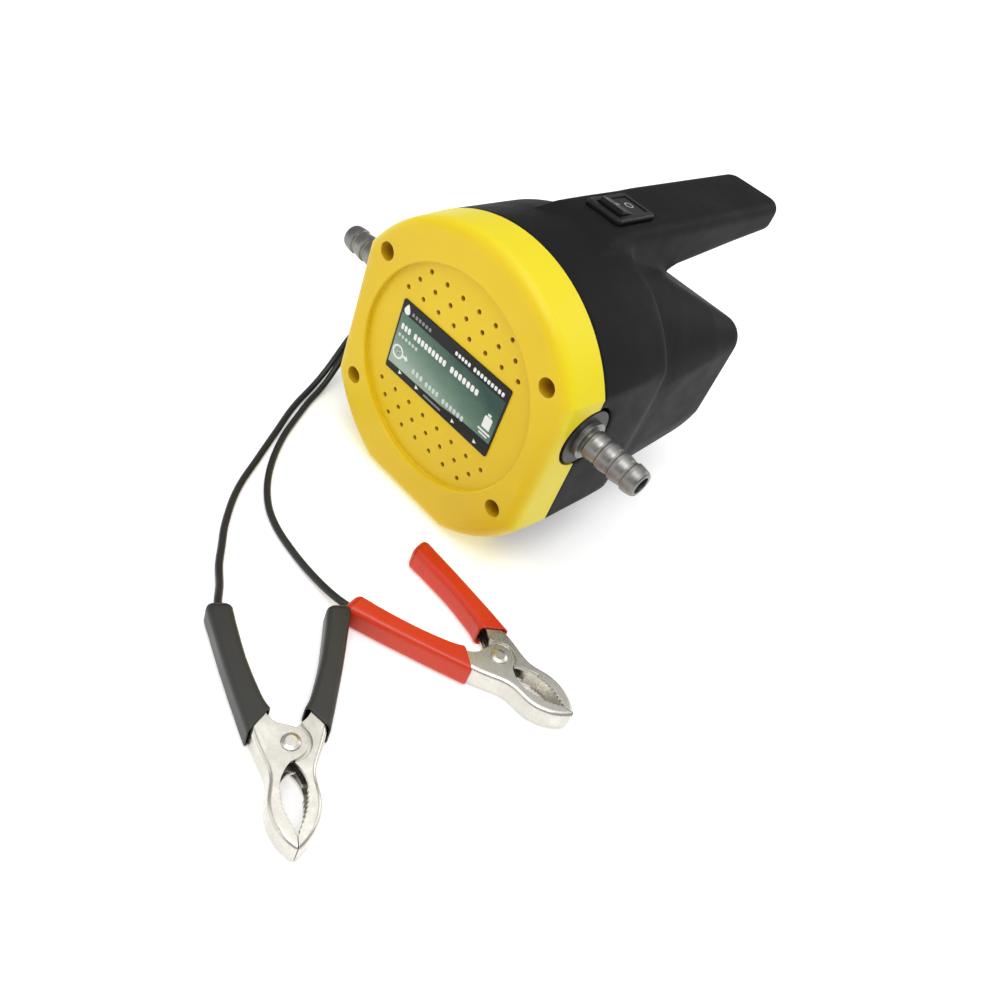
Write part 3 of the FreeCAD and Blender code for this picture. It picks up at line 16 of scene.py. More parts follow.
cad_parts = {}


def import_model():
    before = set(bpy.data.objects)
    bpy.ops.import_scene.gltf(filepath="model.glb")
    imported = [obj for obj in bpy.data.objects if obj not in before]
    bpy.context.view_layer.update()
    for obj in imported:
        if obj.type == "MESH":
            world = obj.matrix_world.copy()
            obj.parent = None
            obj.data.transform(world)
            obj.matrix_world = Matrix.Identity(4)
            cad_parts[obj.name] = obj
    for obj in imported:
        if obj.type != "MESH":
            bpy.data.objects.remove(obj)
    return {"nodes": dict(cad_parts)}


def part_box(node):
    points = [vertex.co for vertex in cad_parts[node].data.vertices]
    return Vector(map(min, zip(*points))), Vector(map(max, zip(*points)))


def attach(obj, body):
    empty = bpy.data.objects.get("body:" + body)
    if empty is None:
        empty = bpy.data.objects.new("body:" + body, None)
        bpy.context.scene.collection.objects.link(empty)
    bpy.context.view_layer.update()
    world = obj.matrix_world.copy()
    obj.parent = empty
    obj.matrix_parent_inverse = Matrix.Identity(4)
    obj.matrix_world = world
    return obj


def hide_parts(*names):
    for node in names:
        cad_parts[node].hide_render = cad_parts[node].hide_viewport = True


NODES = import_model()["nodes"]
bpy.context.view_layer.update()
MM = 0.001
LABEL_LOW, LABEL_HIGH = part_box("front_label")


# ---------------------------------------------------------------- node helpers
class Mat:
    """A node material around one Principled shader."""

    def __init__(self, name):
        self.material = bpy.data.materials.new(name)
        self.material.use_nodes = True
        self.tree = self.material.node_tree
        self.tree.nodes.clear()
        output = self.node("ShaderNodeOutputMaterial")
        self.shader = self.node("ShaderNodeBsdfPrincipled")
        self.link(self.shader.outputs[0], output.inputs[0])

    @cached_property
    def surface_normal(self):
        return self.node("ShaderNodeNewGeometry").outputs["Normal"]

    @cached_property
    def position(self):
        return self.node("ShaderNodeTexCoord").outputs["Object"]

    def node(self, kind, **settings):
        node = self.tree.nodes.new(kind)
        for key, value in settings.items():
            setattr(node, key, value)
        return node

    def link(self, source, target):
        self.tree.links.new(source, target)

    def put(self, socket, value):
        """Link a socket, or set a number or an RGB colour."""
        if isinstance(value, bpy.types.NodeSocket):
            self.link(value, socket)
        elif isinstance(value, tuple):
            socket.default_value = (*value, 1.0)
        else:
            socket.default_value = value

    def noise(self, scale, detail=4.0, rough=0.55, vector=None, distortion=0.0):
        node = self.node("ShaderNodeTexNoise")
        self.link(vector or self.position, node.inputs["Vector"])
        node.inputs["Scale"].default_value = scale
        node.inputs["Detail"].default_value = detail
        node.inputs["Roughness"].default_value = rough
        node.inputs["Distortion"].default_value = distortion
        return node.outputs["Fac"]

    def voronoi(self, scale):
        node = self.node("ShaderNodeTexVoronoi", feature="F1")
        self.link(self.position, node.inputs["Vector"])
        node.inputs["Scale"].default_value = scale
        return node.outputs["Distance"]

    def stretched(self, scale, rotation=(0.0, 0.0, 0.0)):
        """Object position, scaled and turned."""
        node = self.node("ShaderNodeMapping")
        node.inputs["Scale"].default_value = scale
        node.inputs["Rotation"].default_value = rotation
        self.link(self.position, node.inputs["Vector"])
        return node.outputs[0]

    def math(self, operation, first, second=None, clamp=False):
        node = self.node("ShaderNodeMath", operation=operation, use_clamp=clamp)
        self.put(node.inputs[0], first)
        if second is not None:
            self.put(node.inputs[1], second)
        return node.outputs[0]

    def add(self, first, second, clamp=False):
        return self.math("ADD", first, second, clamp)

    def subtract(self, first, second):
        return self.math("SUBTRACT", first, second)

    def multiply(self, first, second):
        return self.math("MULTIPLY", first, second)

    def larger(self, first, second):
        return self.math("MAXIMUM", first, second)

    def distance(self, x, z):
        squares = self.add(self.multiply(x, x), self.multiply(z, z))
        return self.math("SQRT", squares)

    def remap(self, value, low, high, to=(0.0, 1.0)):
        """Map low..high to the pair `to`, clamped."""
        node = self.node("ShaderNodeMapRange")
        self.put(node.inputs[0], value)
        for index, number in enumerate((low, high, *to), 1):
            node.inputs[index].default_value = number
        return node.outputs[0]

    def mix(self, factor, first, second):
        node = self.node("ShaderNodeMix", data_type="RGBA", blend_type="MIX")
        # inputs 6 and 7 and output 2 are the colour sockets
        self.put(node.inputs[0], factor)
        self.put(node.inputs[6], first)
        self.put(node.inputs[7], second)
        return node.outputs[2]

    def xyz(self, vector):
        node = self.node("ShaderNodeSeparateXYZ")
        self.link(vector, node.inputs[0])
        return node.outputs

    def bevel(self, radius, samples=4):
        """The normal as if every edge were rounded."""
        node = self.node("ShaderNodeBevel", samples=samples)
        node.inputs[0].default_value = radius
        return node.outputs[0]

    def edge(self, radius):
        """1 where the rounded normal leaves the true one, 0 on flat faces."""
        dot = self.node("ShaderNodeVectorMath", operation="DOT_PRODUCT")
        self.link(self.bevel(radius, samples=6), dot.inputs[0])
        self.link(self.surface_normal, dot.inputs[1])
        return self.remap(dot.outputs["Value"], 0.995, 0.86)

    def bump(self, height, strength, distance, bevel):
        """Bump over a normal rounded by the radius `bevel`."""
        rounded = self.bevel(bevel)
        node = self.node("ShaderNodeBump")
        node.inputs["Strength"].default_value = strength
        node.inputs["Distance"].default_value = distance
        self.link(height, node.inputs["Height"])
        self.link(rounded, node.inputs["Normal"])
        return node.outputs[0]

    def finish(self, **inputs):
        """Set shader inputs, with _ for a space, and return the material."""
        for key, value in inputs.items():
            self.put(self.shader.inputs[key.replace("_", " ")], value)
        return self.material


def lin(hex_code):
    """Linear RGB from an sRGB hex code."""
    color = []
    for i in (0, 2, 4):
        level = int(hex_code[i : i + 2], 16) / 255.0
        color.append(level / 12.92 if level <= 0.04045 else ((level + 0.055) / 1.055) ** 2.4)
    return tuple(color)


def darker(color, factor):
    return tuple(channel * factor for channel in color)


# ---------------------------------------------------------------- materials
COVER_AXIS_Z = 0.0525
COVER_BORE_X, COVER_BORE_Z = 0.0366, 0.0251  # corner bores, from the cover axis


def cover_painted_light_and_shade(m, color):
    """Painted light and shade: a lighter lemon tone on the outer walls, as if lit, and painted
    shade on the walls of the corner bores and dish holes; faces towards -Y keep their colour.
    """
    normal_y = m.xyz(m.surface_normal)[1]
    x, y, z = m.xyz(m.position)
    z = m.subtract(z, COVER_AXIS_Z)
    radius = m.distance(x, z)
    # painted highlight: a lighter lemon tone where the outer walls turn sideways or up, away from
    # the -Y face
    outer = m.larger(
        m.remap(radius, 0.0462, 0.0490),
        m.remap(m.math("ABSOLUTE", x), 0.0440, 0.0471),
    )
    facing_side = m.remap(normal_y, -0.97, -0.35, to=(0.0, 0.85))
    color = m.mix(m.multiply(outer, facing_side), color, lin("EADA0F"))
    # painted shade: a darker brownish yellow on the walls of the corner bores and of the holes
    # inside the dish
    from_bore = m.distance(
        m.subtract(m.math("ABSOLUTE", x), COVER_BORE_X),
        m.subtract(m.math("ABSOLUTE", z), COVER_BORE_Z),
    )
    painted_bore_shade = m.larger(
        m.remap(from_bore, 0.0034, 0.0036, to=(1.0, 0.0)),
        m.remap(radius, 0.0360, 0.0364, to=(1.0, 0.0)),
    )
    facing_side = m.remap(normal_y, -0.75, -0.3, to=(0.0, 0.6))
    return m.mix(m.multiply(painted_bore_shade, facing_side), color, lin("C08F16"))


def plastic(name, color, color_2, rough, grain, bump,
            wear=None, coat=0.0, spec=0.5, scuff=0.0, paint_light_and_shade=None):
    """Moulded plastic: colours are hex codes, `rough` a range, `grain` a noise scale.

    wear is the colour of rubbed edges, scuff the roughness that scratches add,
    and the last argument a function that paints light and shade into the base colour.
    """
    m = Mat(name)
    base = lin(color)
    tone = m.noise(18.0, detail=3.0)
    shade = m.mix(m.remap(tone, 0.35, 0.65), base, lin(color_2))
    # painted light and shade from the given function, if any
    if paint_light_and_shade:
        shade = paint_light_and_shade(m, shade)
    fine = m.noise(grain, detail=2.0, rough=0.6)
    shade = m.mix(m.remap(fine, 0.3, 0.7, to=(0.0, 0.12)), shade, darker(base, 0.82))
    if wear:
        broken = m.remap(m.noise(420.0, detail=5.0, rough=0.7), 0.42, 0.62)
        rubbed = m.multiply(m.multiply(m.edge(radius=0.0009), broken), 0.55)
        shade = m.mix(rubbed, shade, wear)
    smudge = m.noise(55.0, detail=4.0, rough=0.6, distortion=0.6)
    roughness = m.remap(smudge, 0.3, 0.7, to=rough)
    height = m.add(m.multiply(fine, 0.6), m.multiply(m.voronoi(grain * 0.6), 0.5))
    if scuff:
        across = m.stretched((30.0, 2200.0, 300.0), rotation=(0.3, 0.2, 0.6))
        scratches = m.noise(1.0, detail=2.0, rough=0.5, vector=across)
        scratches = m.remap(scratches, 0.66, 0.74)
        roughness = m.add(roughness, m.multiply(scratches, scuff), clamp=True)
    return m.finish(
        Base_Color=shade,
        Roughness=roughness,
        Normal=m.bump(height, strength=bump, distance=0.00015, bevel=0.0004),
        Coat_Weight=coat,
        Coat_Roughness=0.2,
        Specular_IOR_Level=spec,
    )


def metal(name, color, color_2, rough=(0.22, 0.38), stretch=(1.0, 1.0, 1.0),
          scale=900.0, bump=0.06, dirt=None, dirt_amount=0.35):
    """Streaked metal: linear colours, `stretch` and `scale` shape the streaks."""
    m = Mat(name)
    streak = m.noise(scale, detail=5.0, rough=0.65, vector=m.stretched(stretch))
    blot = m.noise(60.0, detail=4.0, rough=0.6, distortion=0.4)
    shade = m.mix(m.remap(blot, 0.35, 0.65), color, color_2)
    shade = m.mix(m.remap(streak, 0.4, 0.7, to=(0.0, 0.18)), shade, darker(color, 0.6))
    if dirt:
        spots = m.noise(240.0, detail=6.0, rough=0.7)
        shade = m.mix(m.remap(spots, 0.52, 0.68, to=(0.0, dirt_amount)), shade, dirt)
    roughness = m.add(
        m.remap(blot, 0.3, 0.7, to=rough),
        m.remap(streak, 0.3, 0.7, to=(-0.04, 0.05)),
        clamp=True,
    )
    return m.finish(
        Base_Color=shade,
        Roughness=roughness,
        Normal=m.bump(streak, strength=bump, distance=0.0001, bevel=0.00025),
        Metallic=1.0,
    )


def label_base():
    """Laminated sheet: dark frame and bands around a green to grey field."""
    m = Mat("label_base")
    x, y, z = m.xyz(m.position)
    across = m.remap(x, LABEL_LOW[0], LABEL_HIGH[0])
    down = m.remap(z, LABEL_HIGH[2], LABEL_LOW[2])
    # the field grows lighter towards the lower left
    light = m.add(m.multiply(m.subtract(1.0, across), 0.44), m.multiply(down, 0.78))
    mottle = m.remap(m.noise(90.0, detail=3.0), 0.3, 0.7, to=(-0.05, 0.05))
    light = m.add(light, mottle)
    shade = m.mix(m.remap(light, 0.30, 0.66), lin("2B4840"), lin("5E7B69"))
    shade = m.mix(m.remap(light, 0.66, 1.02), shade, lin("9DB0A0"))
    top = m.remap(down, 0.175, 0.182, to=(1.0, 0.0))
    # the lower band rises to the right, with a steeper part past the middle
    edge = m.add(0.905, m.multiply(m.remap(across, 0.0, 1.0), -0.05))
    edge = m.subtract(edge, m.remap(across, 0.55, 0.75, to=(0.0, 0.045)))
    bottom = m.remap(m.subtract(down, edge), -0.004, 0.004)
    sides = m.larger(
        m.remap(across, 0.012, 0.015, to=(1.0, 0.0)),
        m.remap(across, 0.985, 0.988),
    )
    frame = m.larger(m.larger(top, bottom), sides)
    # the cut edges, behind the face, show the dark core
    core = m.remap(y, LABEL_LOW[1] + 0.00008, LABEL_LOW[1] + 0.00012)
    shade = m.mix(m.larger(frame, core), shade, (0.006, 0.0065, 0.0065))
    fine = m.noise(3000.0, detail=2.0, rough=0.6)
    smudge = m.noise(70.0, detail=4.0, rough=0.6, distortion=0.5)
    return m.finish(
        Base_Color=shade,
        Roughness=m.remap(smudge, 0.3, 0.7, to=(0.24, 0.34)),
        Normal=m.bump(fine, strength=0.03, distance=0.0001, bevel=0.0002),
        Coat_Weight=0.02,
        Coat_Roughness=0.15,
        Specular_IOR_Level=0.22,
    )


# the yellow cover's colour carries a painted highlight on its outer walls and painted shade in
# its bores
YELLOW = plastic("yellow_abs", "E2C00C", "DBB80A", rough=(0.36, 0.48), grain=2400.0,
                 bump=0.10, wear=(0.92, 0.76, 0.2), coat=0.05, spec=0.35, paint_light_and_shade=cover_painted_light_and_shade)
BLACK = plastic("black_abs", "131313", "0E0E0F", rough=(0.52, 0.64), grain=1900.0,
                bump=0.22, wear=(0.07, 0.07, 0.07), scuff=0.06, spec=0.12)
NYLON = plastic("black_nylon", "171718", "131314", rough=(0.4, 0.5), grain=2200.0, bump=0.12)
SWITCH = plastic("switch_black", "141415", "101011", rough=(0.32, 0.42), grain=3000.0,
                 bump=0.05, spec=0.26)
BARB = metal("barb_alloy", (0.29, 0.285, 0.27), (0.20, 0.197, 0.19), rough=(0.3, 0.44),
             stretch=(6.0, 0.3, 0.3), scale=700.0, bump=0.12, dirt=(0.12, 0.12, 0.11))
ZINC = metal("zinc_steel", (0.55, 0.54, 0.50), (0.45, 0.44, 0.42), rough=(0.3, 0.42),
             dirt=(0.3, 0.27, 0.2))
NICKEL = metal("clamp_nickel", (0.74, 0.715, 0.65), (0.63, 0.61, 0.555), rough=(0.22, 0.33),
               stretch=(1.0, 1.0, 0.25), scale=520.0, bump=0.035,
               dirt=(0.42, 0.39, 0.33), dirt_amount=0.12)
SPRING = metal("spring_wire", (0.4, 0.4, 0.4), (0.3, 0.3, 0.3))
RED_PVC = plastic("red_pvc", "D9401F", "CC3518", rough=(0.24, 0.34), grain=1500.0,
                  bump=0.10, coat=0.06, spec=0.34)
BLACK_PVC = plastic("black_pvc", "2F2F2B", "262623", rough=(0.40, 0.52), grain=1500.0,
                    bump=0.12, coat=0.05)
WIRE = plastic("wire_pvc", "1E1E1F", "171718", rough=(0.36, 0.46), grain=1800.0, bump=0.08)
BRASS = metal("brass", (0.72, 0.53, 0.25), (0.6, 0.42, 0.2))
COPPER = metal("copper", (0.7, 0.33, 0.16), (0.55, 0.22, 0.1))
IRON = metal("dark_iron", (0.16, 0.16, 0.17), (0.1, 0.1, 0.11), rough=(0.5, 0.6))
RUBBER = plastic("rubber", "1F1F1F", "191919", rough=(0.5, 0.62), grain=1800.0, bump=0.1)
LABEL = label_base()

# the pieces of each material; any piece not named here is zinc
PIECES = (
    (YELLOW, "front_cover"),
    (BLACK, "housing"),
    (LABEL, "front_label"),
    (NYLON, "pump_body pump_front_plate motor_end_cap"),
    (SWITCH, "switch_housing switch_rocker"),
    (RUBBER, "cable_gland pump_gasket shaft_seal barb_orings"),
    (BARB, "inlet_barb outlet_barb"),
    (WIRE, "negative_lead positive_lead internal_wires"),
    (SPRING, "neg_spring pos_spring"),
    (BRASS, "front_bush motor_bearings motor_terminals switch_terminals"),
    (COPPER, "armature_windings commutator"),
    (IRON, "motor_magnets carbon_brushes armature_core"),
    (BLACK_PVC, "neg_fixed_grip neg_moving_grip"),
    (RED_PVC, "pos_fixed_grip pos_moving_grip"),
    (NICKEL, "neg_fixed_jaw neg_moving_jaw neg_rivet pos_fixed_jaw pos_moving_jaw pos_rivet"),
)


def dress_pieces():
    material_of = {piece: material for material, names in PIECES for piece in names.split()}
    for name, piece in NODES.items():
        piece.data.materials.clear()
        piece.data.materials.append(material_of.get(name, ZINC))


dress_pieces()

# ---------------------------------------------------------------- moulded housing
HOUSING_VOXEL = 0.0007
FILLET_PASSES, BLEND_PASSES = 10, 60
# where surfaces blend more softly: strength, then (low, high, fade) in mm
# along |x|, y and z
SOFT_ZONES = (
    (1.0, (7, 30, 1.5), (30, 64, 2.0), (82, 106, 2.0)),  # handle into barrel
    (0.8, (18, 60, 2.0), (28, 46, 1.5), (20, 96, 3.0)),  # shoulder
)


def window(value, low, high, fade):
    """About 1 between low and high, falling to 0 outside."""
    return 1 / (1 + np.exp(-(value - low) / fade)) / (1 + np.exp((value - high) / fade))


def moulded_housing():
    """The housing shell again, with the small fillets of a moulded part."""
    source = NODES["housing"]
    piece = bpy.data.objects.new("housing_moulded", source.data.copy())
    bpy.context.scene.collection.objects.link(piece)
    piece.matrix_world = source.matrix_world.copy()
    remesh = piece.modifiers.new("remesh", "REMESH")
    remesh.mode = "VOXEL"
    remesh.voxel_size = HOUSING_VOXEL
    remesh.adaptivity = 0.0
    evaluated = piece.evaluated_get(bpy.context.evaluated_depsgraph_get())
    mesh = bpy.data.meshes.new_from_object(evaluated)
    piece.modifiers.clear()
    piece.data = mesh

    count = len(mesh.vertices)
    points = np.empty(count * 3)
    mesh.vertices.foreach_get("co", points)
    points = points.reshape(-1, 3)
    edges = np.empty(len(mesh.edges) * 2, dtype=np.int64)
    mesh.edges.foreach_get("vertices", edges)
    edges = edges.reshape(-1, 2)
    start, end = edges[:, 0], edges[:, 1]
    neighbours = np.bincount(edges.ravel(), minlength=count).astype(float)[:, None]

    x, y, z = np.abs(points[:, 0]) * 1000, points[:, 1] * 1000, points[:, 2] * 1000
    soft = np.zeros(count)
    for strength, span_x, span_y, span_z in SOFT_ZONES:
        zone = window(y, *span_y) * window(z, *span_z) * window(x, *span_x)
        soft = np.maximum(soft, strength * zone)
    # everything in front of y = 1 mm keeps its edges, smoothing is full from 3 mm
    free = (1 - np.clip((3.0 - y) / 2.0, 0, 1))[:, None]
    soft = soft[:, None]

    def smooth(places, amount):
        total = np.zeros_like(places)
        for axis in range(3):
            values = places[:, axis]
            total[:, axis] = (
                np.bincount(start, weights=values[end], minlength=count)
                + np.bincount(end, weights=values[start], minlength=count)
            )
        return places + amount * (total / neighbours - places)

    # shrink and regrow in turn, so that edges round but the volume stays
    sharp = points.copy()
    fillet = 0.42 * free
    for _ in range(FILLET_PASSES):
        points = smooth(points, fillet)
        points = smooth(points, -0.40 * fillet)
    for _ in range(BLEND_PASSES):
        points = smooth(points, 0.6 * soft * free)
    shift = points - sharp
    size = np.linalg.norm(shift, axis=1, keepdims=True)
    limit = 0.0006 + 0.0016 * soft
    points = sharp + shift * np.minimum(1.0, limit / np.maximum(size, 1e-12))

    mesh.vertices.foreach_set("co", points.ravel())
    for polygon in mesh.polygons:
        polygon.use_smooth = True
    mesh.update()
    mesh.materials.clear()
    mesh.materials.append(BLACK)
    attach(piece, "root")
    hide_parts("housing")


moulded_housing()


# ---------------------------------------------------------------- mesh helpers
def new_piece(name, bm, material, body, smooth=True):
    mesh = bpy.data.meshes.new(name)
    bmesh.ops.recalc_face_normals(bm, faces=bm.faces)
    bm.to_mesh(mesh)
    bm.free()
    if smooth:
        for polygon in mesh.polygons:
            polygon.use_smooth = True
    piece = bpy.data.objects.new(name, mesh)
    bpy.context.scene.collection.objects.link(piece)
    mesh.materials.append(material)
    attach(piece, body)
    return piece


def spline(points, count):
    """Catmull-Rom curve through the points, as `count` evenly spaced samples."""
    knots = [Vector(point) for point in points]
    knots = [knots[0] * 2 - knots[1]] + knots + [knots[-1] * 2 - knots[-2]]
    steps = 24
    fine = []
    for a, b, c, d in zip(knots, knots[1:], knots[2:], knots[3:]):
        for k in range(steps):
            t = k / steps
            square = (2 * a - 5 * b + 4 * c - d) * t * t
            cube = (3 * b - a - 3 * c + d) * t ** 3
            fine.append(0.5 * ((2 * b) + (c - a) * t + square + cube))
    fine.append(knots[-2])
    run = [0.0]
    for a, b in zip(fine, fine[1:]):
        run.append(run[-1] + (b - a).length)
    samples = []
    j = 0
    for i in range(count):
        length = run[-1] * i / (count - 1)
        while j < len(run) - 2 and run[j + 1] < length:
            j += 1
        part = (length - run[j]) / max(run[j + 1] - run[j], 1e-12)
        samples.append(fine[j].lerp(fine[j + 1], min(max(part, 0.0), 1.0)))
    return samples


def join_rings(bm, first, second):
    count = len(first)
    for i in range(count):
        j = (i + 1) % count
        bm.faces.new((first[i], first[j], second[j], second[i]))


def close_end(bm, ring, steps, bulge):
    """Close a ring: steps are (scale, share of bulge), then (share at the centre)."""
    count = len(ring)
    centre = sum((vert.co for vert in ring), Vector()) / count
    *inner, tip = steps
    previous = ring
    for scale, share in inner:
        smaller = [
            bm.verts.new(centre + (vert.co - centre) * scale + bulge * share) for vert in ring
        ]
        join_rings(bm, previous, smaller)
        previous = smaller
    last = bm.verts.new(centre + bulge * tip)
    for i in range(count):
        bm.faces.new((previous[i], previous[(i + 1) % count], last))


def add_rod(bm, points, radius, segments, samples):
    """A round rod with domed ends along a spline through the points."""
    path = spline(points, samples)
    up = None
    rings = []
    for i, point in enumerate(path):
        along = (path[min(i + 1, samples - 1)] - path[max(i - 1, 0)]).normalized()
        if up is None:
            up = along.orthogonal().normalized()
        up = (up - along * up.dot(along)).normalized()
        side = along.cross(up)
        ring = []
        for k in range(segments):
            angle = 2 * math.pi * k / segments
            offset = up * math.cos(angle) + side * math.sin(angle)
            ring.append(bm.verts.new(point + offset * radius))
        rings.append(ring)
    for first, second in zip(rings, rings[1:]):
        join_rings(bm, first, second)
    dome = ((0.85, 0.21), (0.5, 0.42), 0.55)
    close_end(bm, rings[0], dome, (path[0] - path[1]).normalized() * radius)
    close_end(bm, rings[-1], dome, (path[-1] - path[-2]).normalized() * radius)


# ---------------------------------------------------------------- clamps
# Clamp frame, in mm: origin at the rivet, `along` positive away from the grips,
# `across` towards the lever side, `height` from the clamp's middle plane.
CLAMP_TURN = {"neg": math.radians(-31.5), "pos": math.radians(11.9)}


def rivet_centre(tag):
    low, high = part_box(tag + "_rivet")
    return (Vector(low) + Vector(high)) / 2


RIVET = {tag: rivet_centre(tag) for tag in CLAMP_TURN}
CLAMP_PLANE = (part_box("neg_rivet")[0][2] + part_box("neg_rivet")[1][2]) / 2


def clamp_point(tag, along, across, height):
    """World point from clamp frame millimetres."""
    cos, sin = math.cos(CLAMP_TURN[tag]), math.sin(CLAMP_TURN[tag])
    return Vector((
        RIVET[tag].x + (along * cos - across * sin) * MM,
        RIVET[tag].y + (along * sin + across * cos) * MM,
        CLAMP_PLANE + height * MM,
    ))


# PVC sleeve edges in plan, mm: (along, across), closed end first
SLEEVE_OUTER = ((-42.9, 20.55), (-41.5, 20.4), (-26.0, 16.95), (-12.0, 13.25), (-3.4, 10.85))
SLEEVE_INNER = (
    (-42.9, 13.4), (-41.5, 13.25), (-26.0, 10.05), (-16.0, 7.1), (-12.6, 5.75), (-10.6, 4.6),
)
# rolled mouth, mm: (forward, growth of the half width)
SLEEVE_LIP = ((0.22, -0.06), (0.34, -0.2), (0.34, -0.38), (0.2, -0.52))
SLEEVE_ROWS = 74
SLEEVE_CAP_RINGS = 9
SLEEVE_HALF_HEIGHT = 4.42
SLEEVE_CORNER = 1.88
SLEEVE_CAP_INSET, SLEEVE_CAP_DEPTH = 1.9, 1.55
SLEEVE_WALL, SLEEVE_WALL_Z = 0.55, 0.42  # thickness across and in height
SLEEVE_FLOOR_GAP = 0.02


def rounded_rectangle(half_width, half_height, corner):
    """56 points: nine on each corner and five on each side between."""
    corner = min(corner, half_width * 0.97, half_height * 0.97)
    x, y = half_width - corner, half_height - corner
    arcs = []
    for quarter, (cx, cy) in enumerate(((x, y), (-x, y), (-x, -y), (x, -y))):
        angles = [math.pi / 2 * (quarter + k / 8) for k in range(9)]
        arcs.append([(cx + corner * math.cos(a), cy + corner * math.sin(a)) for a in angles])
    points = []
    for arc, following in zip(arcs, arcs[1:] + arcs[:1]):
        points += arc
        (ax, ay), (bx, by) = arc[-1], following[0]
        points += [(ax + (bx - ax) * k / 6, ay + (by - ay) * k / 6) for k in range(1, 6)]
    return points


def hump(t, centre, width):
    return math.exp(-((t - centre) / width) ** 2)


def sleeve(tag, part, side, body, material, seed):
    """A thin sock over one grip: closed and rounded at one end, a lip at the other."""
    bm = bmesh.new()
    rings = []

    def add_ring(centre, across, half_width, half_height, uneven=False):
        ring = []
        for offset, height in rounded_rectangle(half_width, half_height, SLEEVE_CORNER):
            point = centre + across * offset
            if uneven:
                spot = Vector((point.x * 0.16 + seed * 7.3, point.y * 0.16, height * 0.2))
                factor = 1.0 + 0.012 * noise.noise(spot)
                point = centre + across * offset * factor
                height *= factor
            place = clamp_point(tag, point.x, side * point.y, height)
            ring.append(bm.verts.new(place))
        rings.append(ring)

    outer = spline([(*point, 0) for point in SLEEVE_OUTER], SLEEVE_ROWS)
    inner = spline([(*point, 0) for point in SLEEVE_INNER], SLEEVE_ROWS)

    # closed end
    centre, half = (outer[0] + inner[0]) / 2, (outer[0] - inner[0]) / 2
    back = Vector((-1, 0.22, 0)).normalized()
    for k in range(SLEEVE_CAP_RINGS):
        angle = math.pi / 2 * (1 - (k + 0.6) / SLEEVE_CAP_RINGS)
        inset = SLEEVE_CAP_INSET * (1 - math.cos(angle) ** 0.62)
        add_ring(centre + back * (SLEEVE_CAP_DEPTH * math.sin(angle)), half.normalized(),
                 half.length - inset, SLEEVE_HALF_HEIGHT - inset)

    # body: a soft bulb at the closed end and a slight waist, clear of the floor
    rows = []
    tallest = CLAMP_PLANE * 1000 - SLEEVE_FLOOR_GAP
    for k, (outside, inside) in enumerate(zip(outer, inner)):
        t = k / (SLEEVE_ROWS - 1)
        centre, half = (outside + inside) / 2, (outside - inside) / 2
        swell = 1.0 + 0.035 * hump(t, 0.06, 0.07) - 0.02 * hump(t, 0.45, 0.2)
        across, half_width = half.normalized(), half.length * swell
        half_height = SLEEVE_HALF_HEIGHT + 0.04 * hump(t, 0.05, 0.08)
        rows.append((centre, across, half_width, half_height))
        add_ring(centre, across, half_width, min(half_height, tallest), uneven=True)

    # the lip rolls over and the wall runs back inside
    centre, across, half_width, half_height = rows[-1]
    forward = (centre - rows[-4][0]).normalized()
    for ahead, growth in SLEEVE_LIP:
        add_ring(centre + forward * ahead, across, half_width + growth,
                 half_height + growth * 0.7)
    for k in range(SLEEVE_ROWS - 2, 3, -4):
        centre, across, half_width, half_height = rows[k]
        add_ring(centre, across, half_width - SLEEVE_WALL, half_height - SLEEVE_WALL_Z)

    for first, second in zip(rings, rings[1:]):
        join_rings(bm, first, second)
    for ring in (rings[0], rings[-1]):
        close_end(bm, ring, ((0.66, 0.0), (0.33, 0.0), 0.0), Vector())
    # an extra pass, so that the one in new_piece starts from computed normals
    bmesh.ops.recalc_face_normals(bm, faces=bm.faces)
    piece = new_piece(f"{tag}_{part}_sleeve", bm, material, body)
    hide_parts(f"{tag}_{part}_grip")


sleeve("neg", "fixed", -1, "root", BLACK_PVC, seed=1)
sleeve("neg", "moving", 1, "neg_lever", BLACK_PVC, seed=2)
sleeve("pos", "fixed", -1, "root", RED_PVC, seed=3)
sleeve("pos", "moving", 1, "pos_lever", RED_PVC, seed=4)

# torsion spring, in mm except the wire radius
COIL_RADIUS, COIL_PITCH, COIL_TURNS = 2.45, 0.88, 3.5
COIL_STEPS = 28  # points per turn
SPRING_TOP = COIL_PITCH * COIL_TURNS / 2
SPRING_WIRE_RADIUS = 0.00042


def spring_part(tag, part, points, samples, body):
    bm = bmesh.new()
    path = [clamp_point(tag, *point) for point in points]
    add_rod(bm, path, SPRING_WIRE_RADIUS, segments=12, samples=samples)
    piece = new_piece(f"{tag}_spring_{part}", bm, SPRING, body)
    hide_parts(tag + "_spring")


def torsion_spring(tag):
    """Coil and lower leg stay with the clamp; the upper leg moves with the lever."""
    coil = [(-9.5, -10.0, -SPRING_TOP), (-4.7, -6.2, -SPRING_TOP)]
    for k in range(int(COIL_TURNS * COIL_STEPS) + 1):
        angle = -math.pi / 2 + 2 * math.pi * k / COIL_STEPS
        coil.append((
            COIL_RADIUS * math.cos(angle),
            COIL_RADIUS * math.sin(angle),
            -SPRING_TOP + COIL_PITCH * k / COIL_STEPS,
        ))
    leg = [(0.4, COIL_RADIUS, SPRING_TOP), (-4.6, 6.1, SPRING_TOP), (-9.5, 10.0, SPRING_TOP)]
    spring_part(tag, "coil", coil, samples=260, body="root")
    spring_part(tag, "leg", leg, samples=24, body=tag + "_lever")


for clamp in CLAMP_TURN:
    torsion_spring(clamp)

# ---------------------------------------------------------------- label print
# Places on the label run from 0 to 1: u from left to right, v from top to bottom.
# Radii and bar heights are shares of the label's height.
LABEL_WIDTH = LABEL_HIGH[0] - LABEL_LOW[0]
LABEL_HEIGHT = LABEL_HIGH[2] - LABEL_LOW[2]
LABEL_ASPECT = LABEL_WIDTH / LABEL_HEIGHT
PRINT_FRONT, PRINT_BACK = -0.00006, 0.00002  # y from the label's face

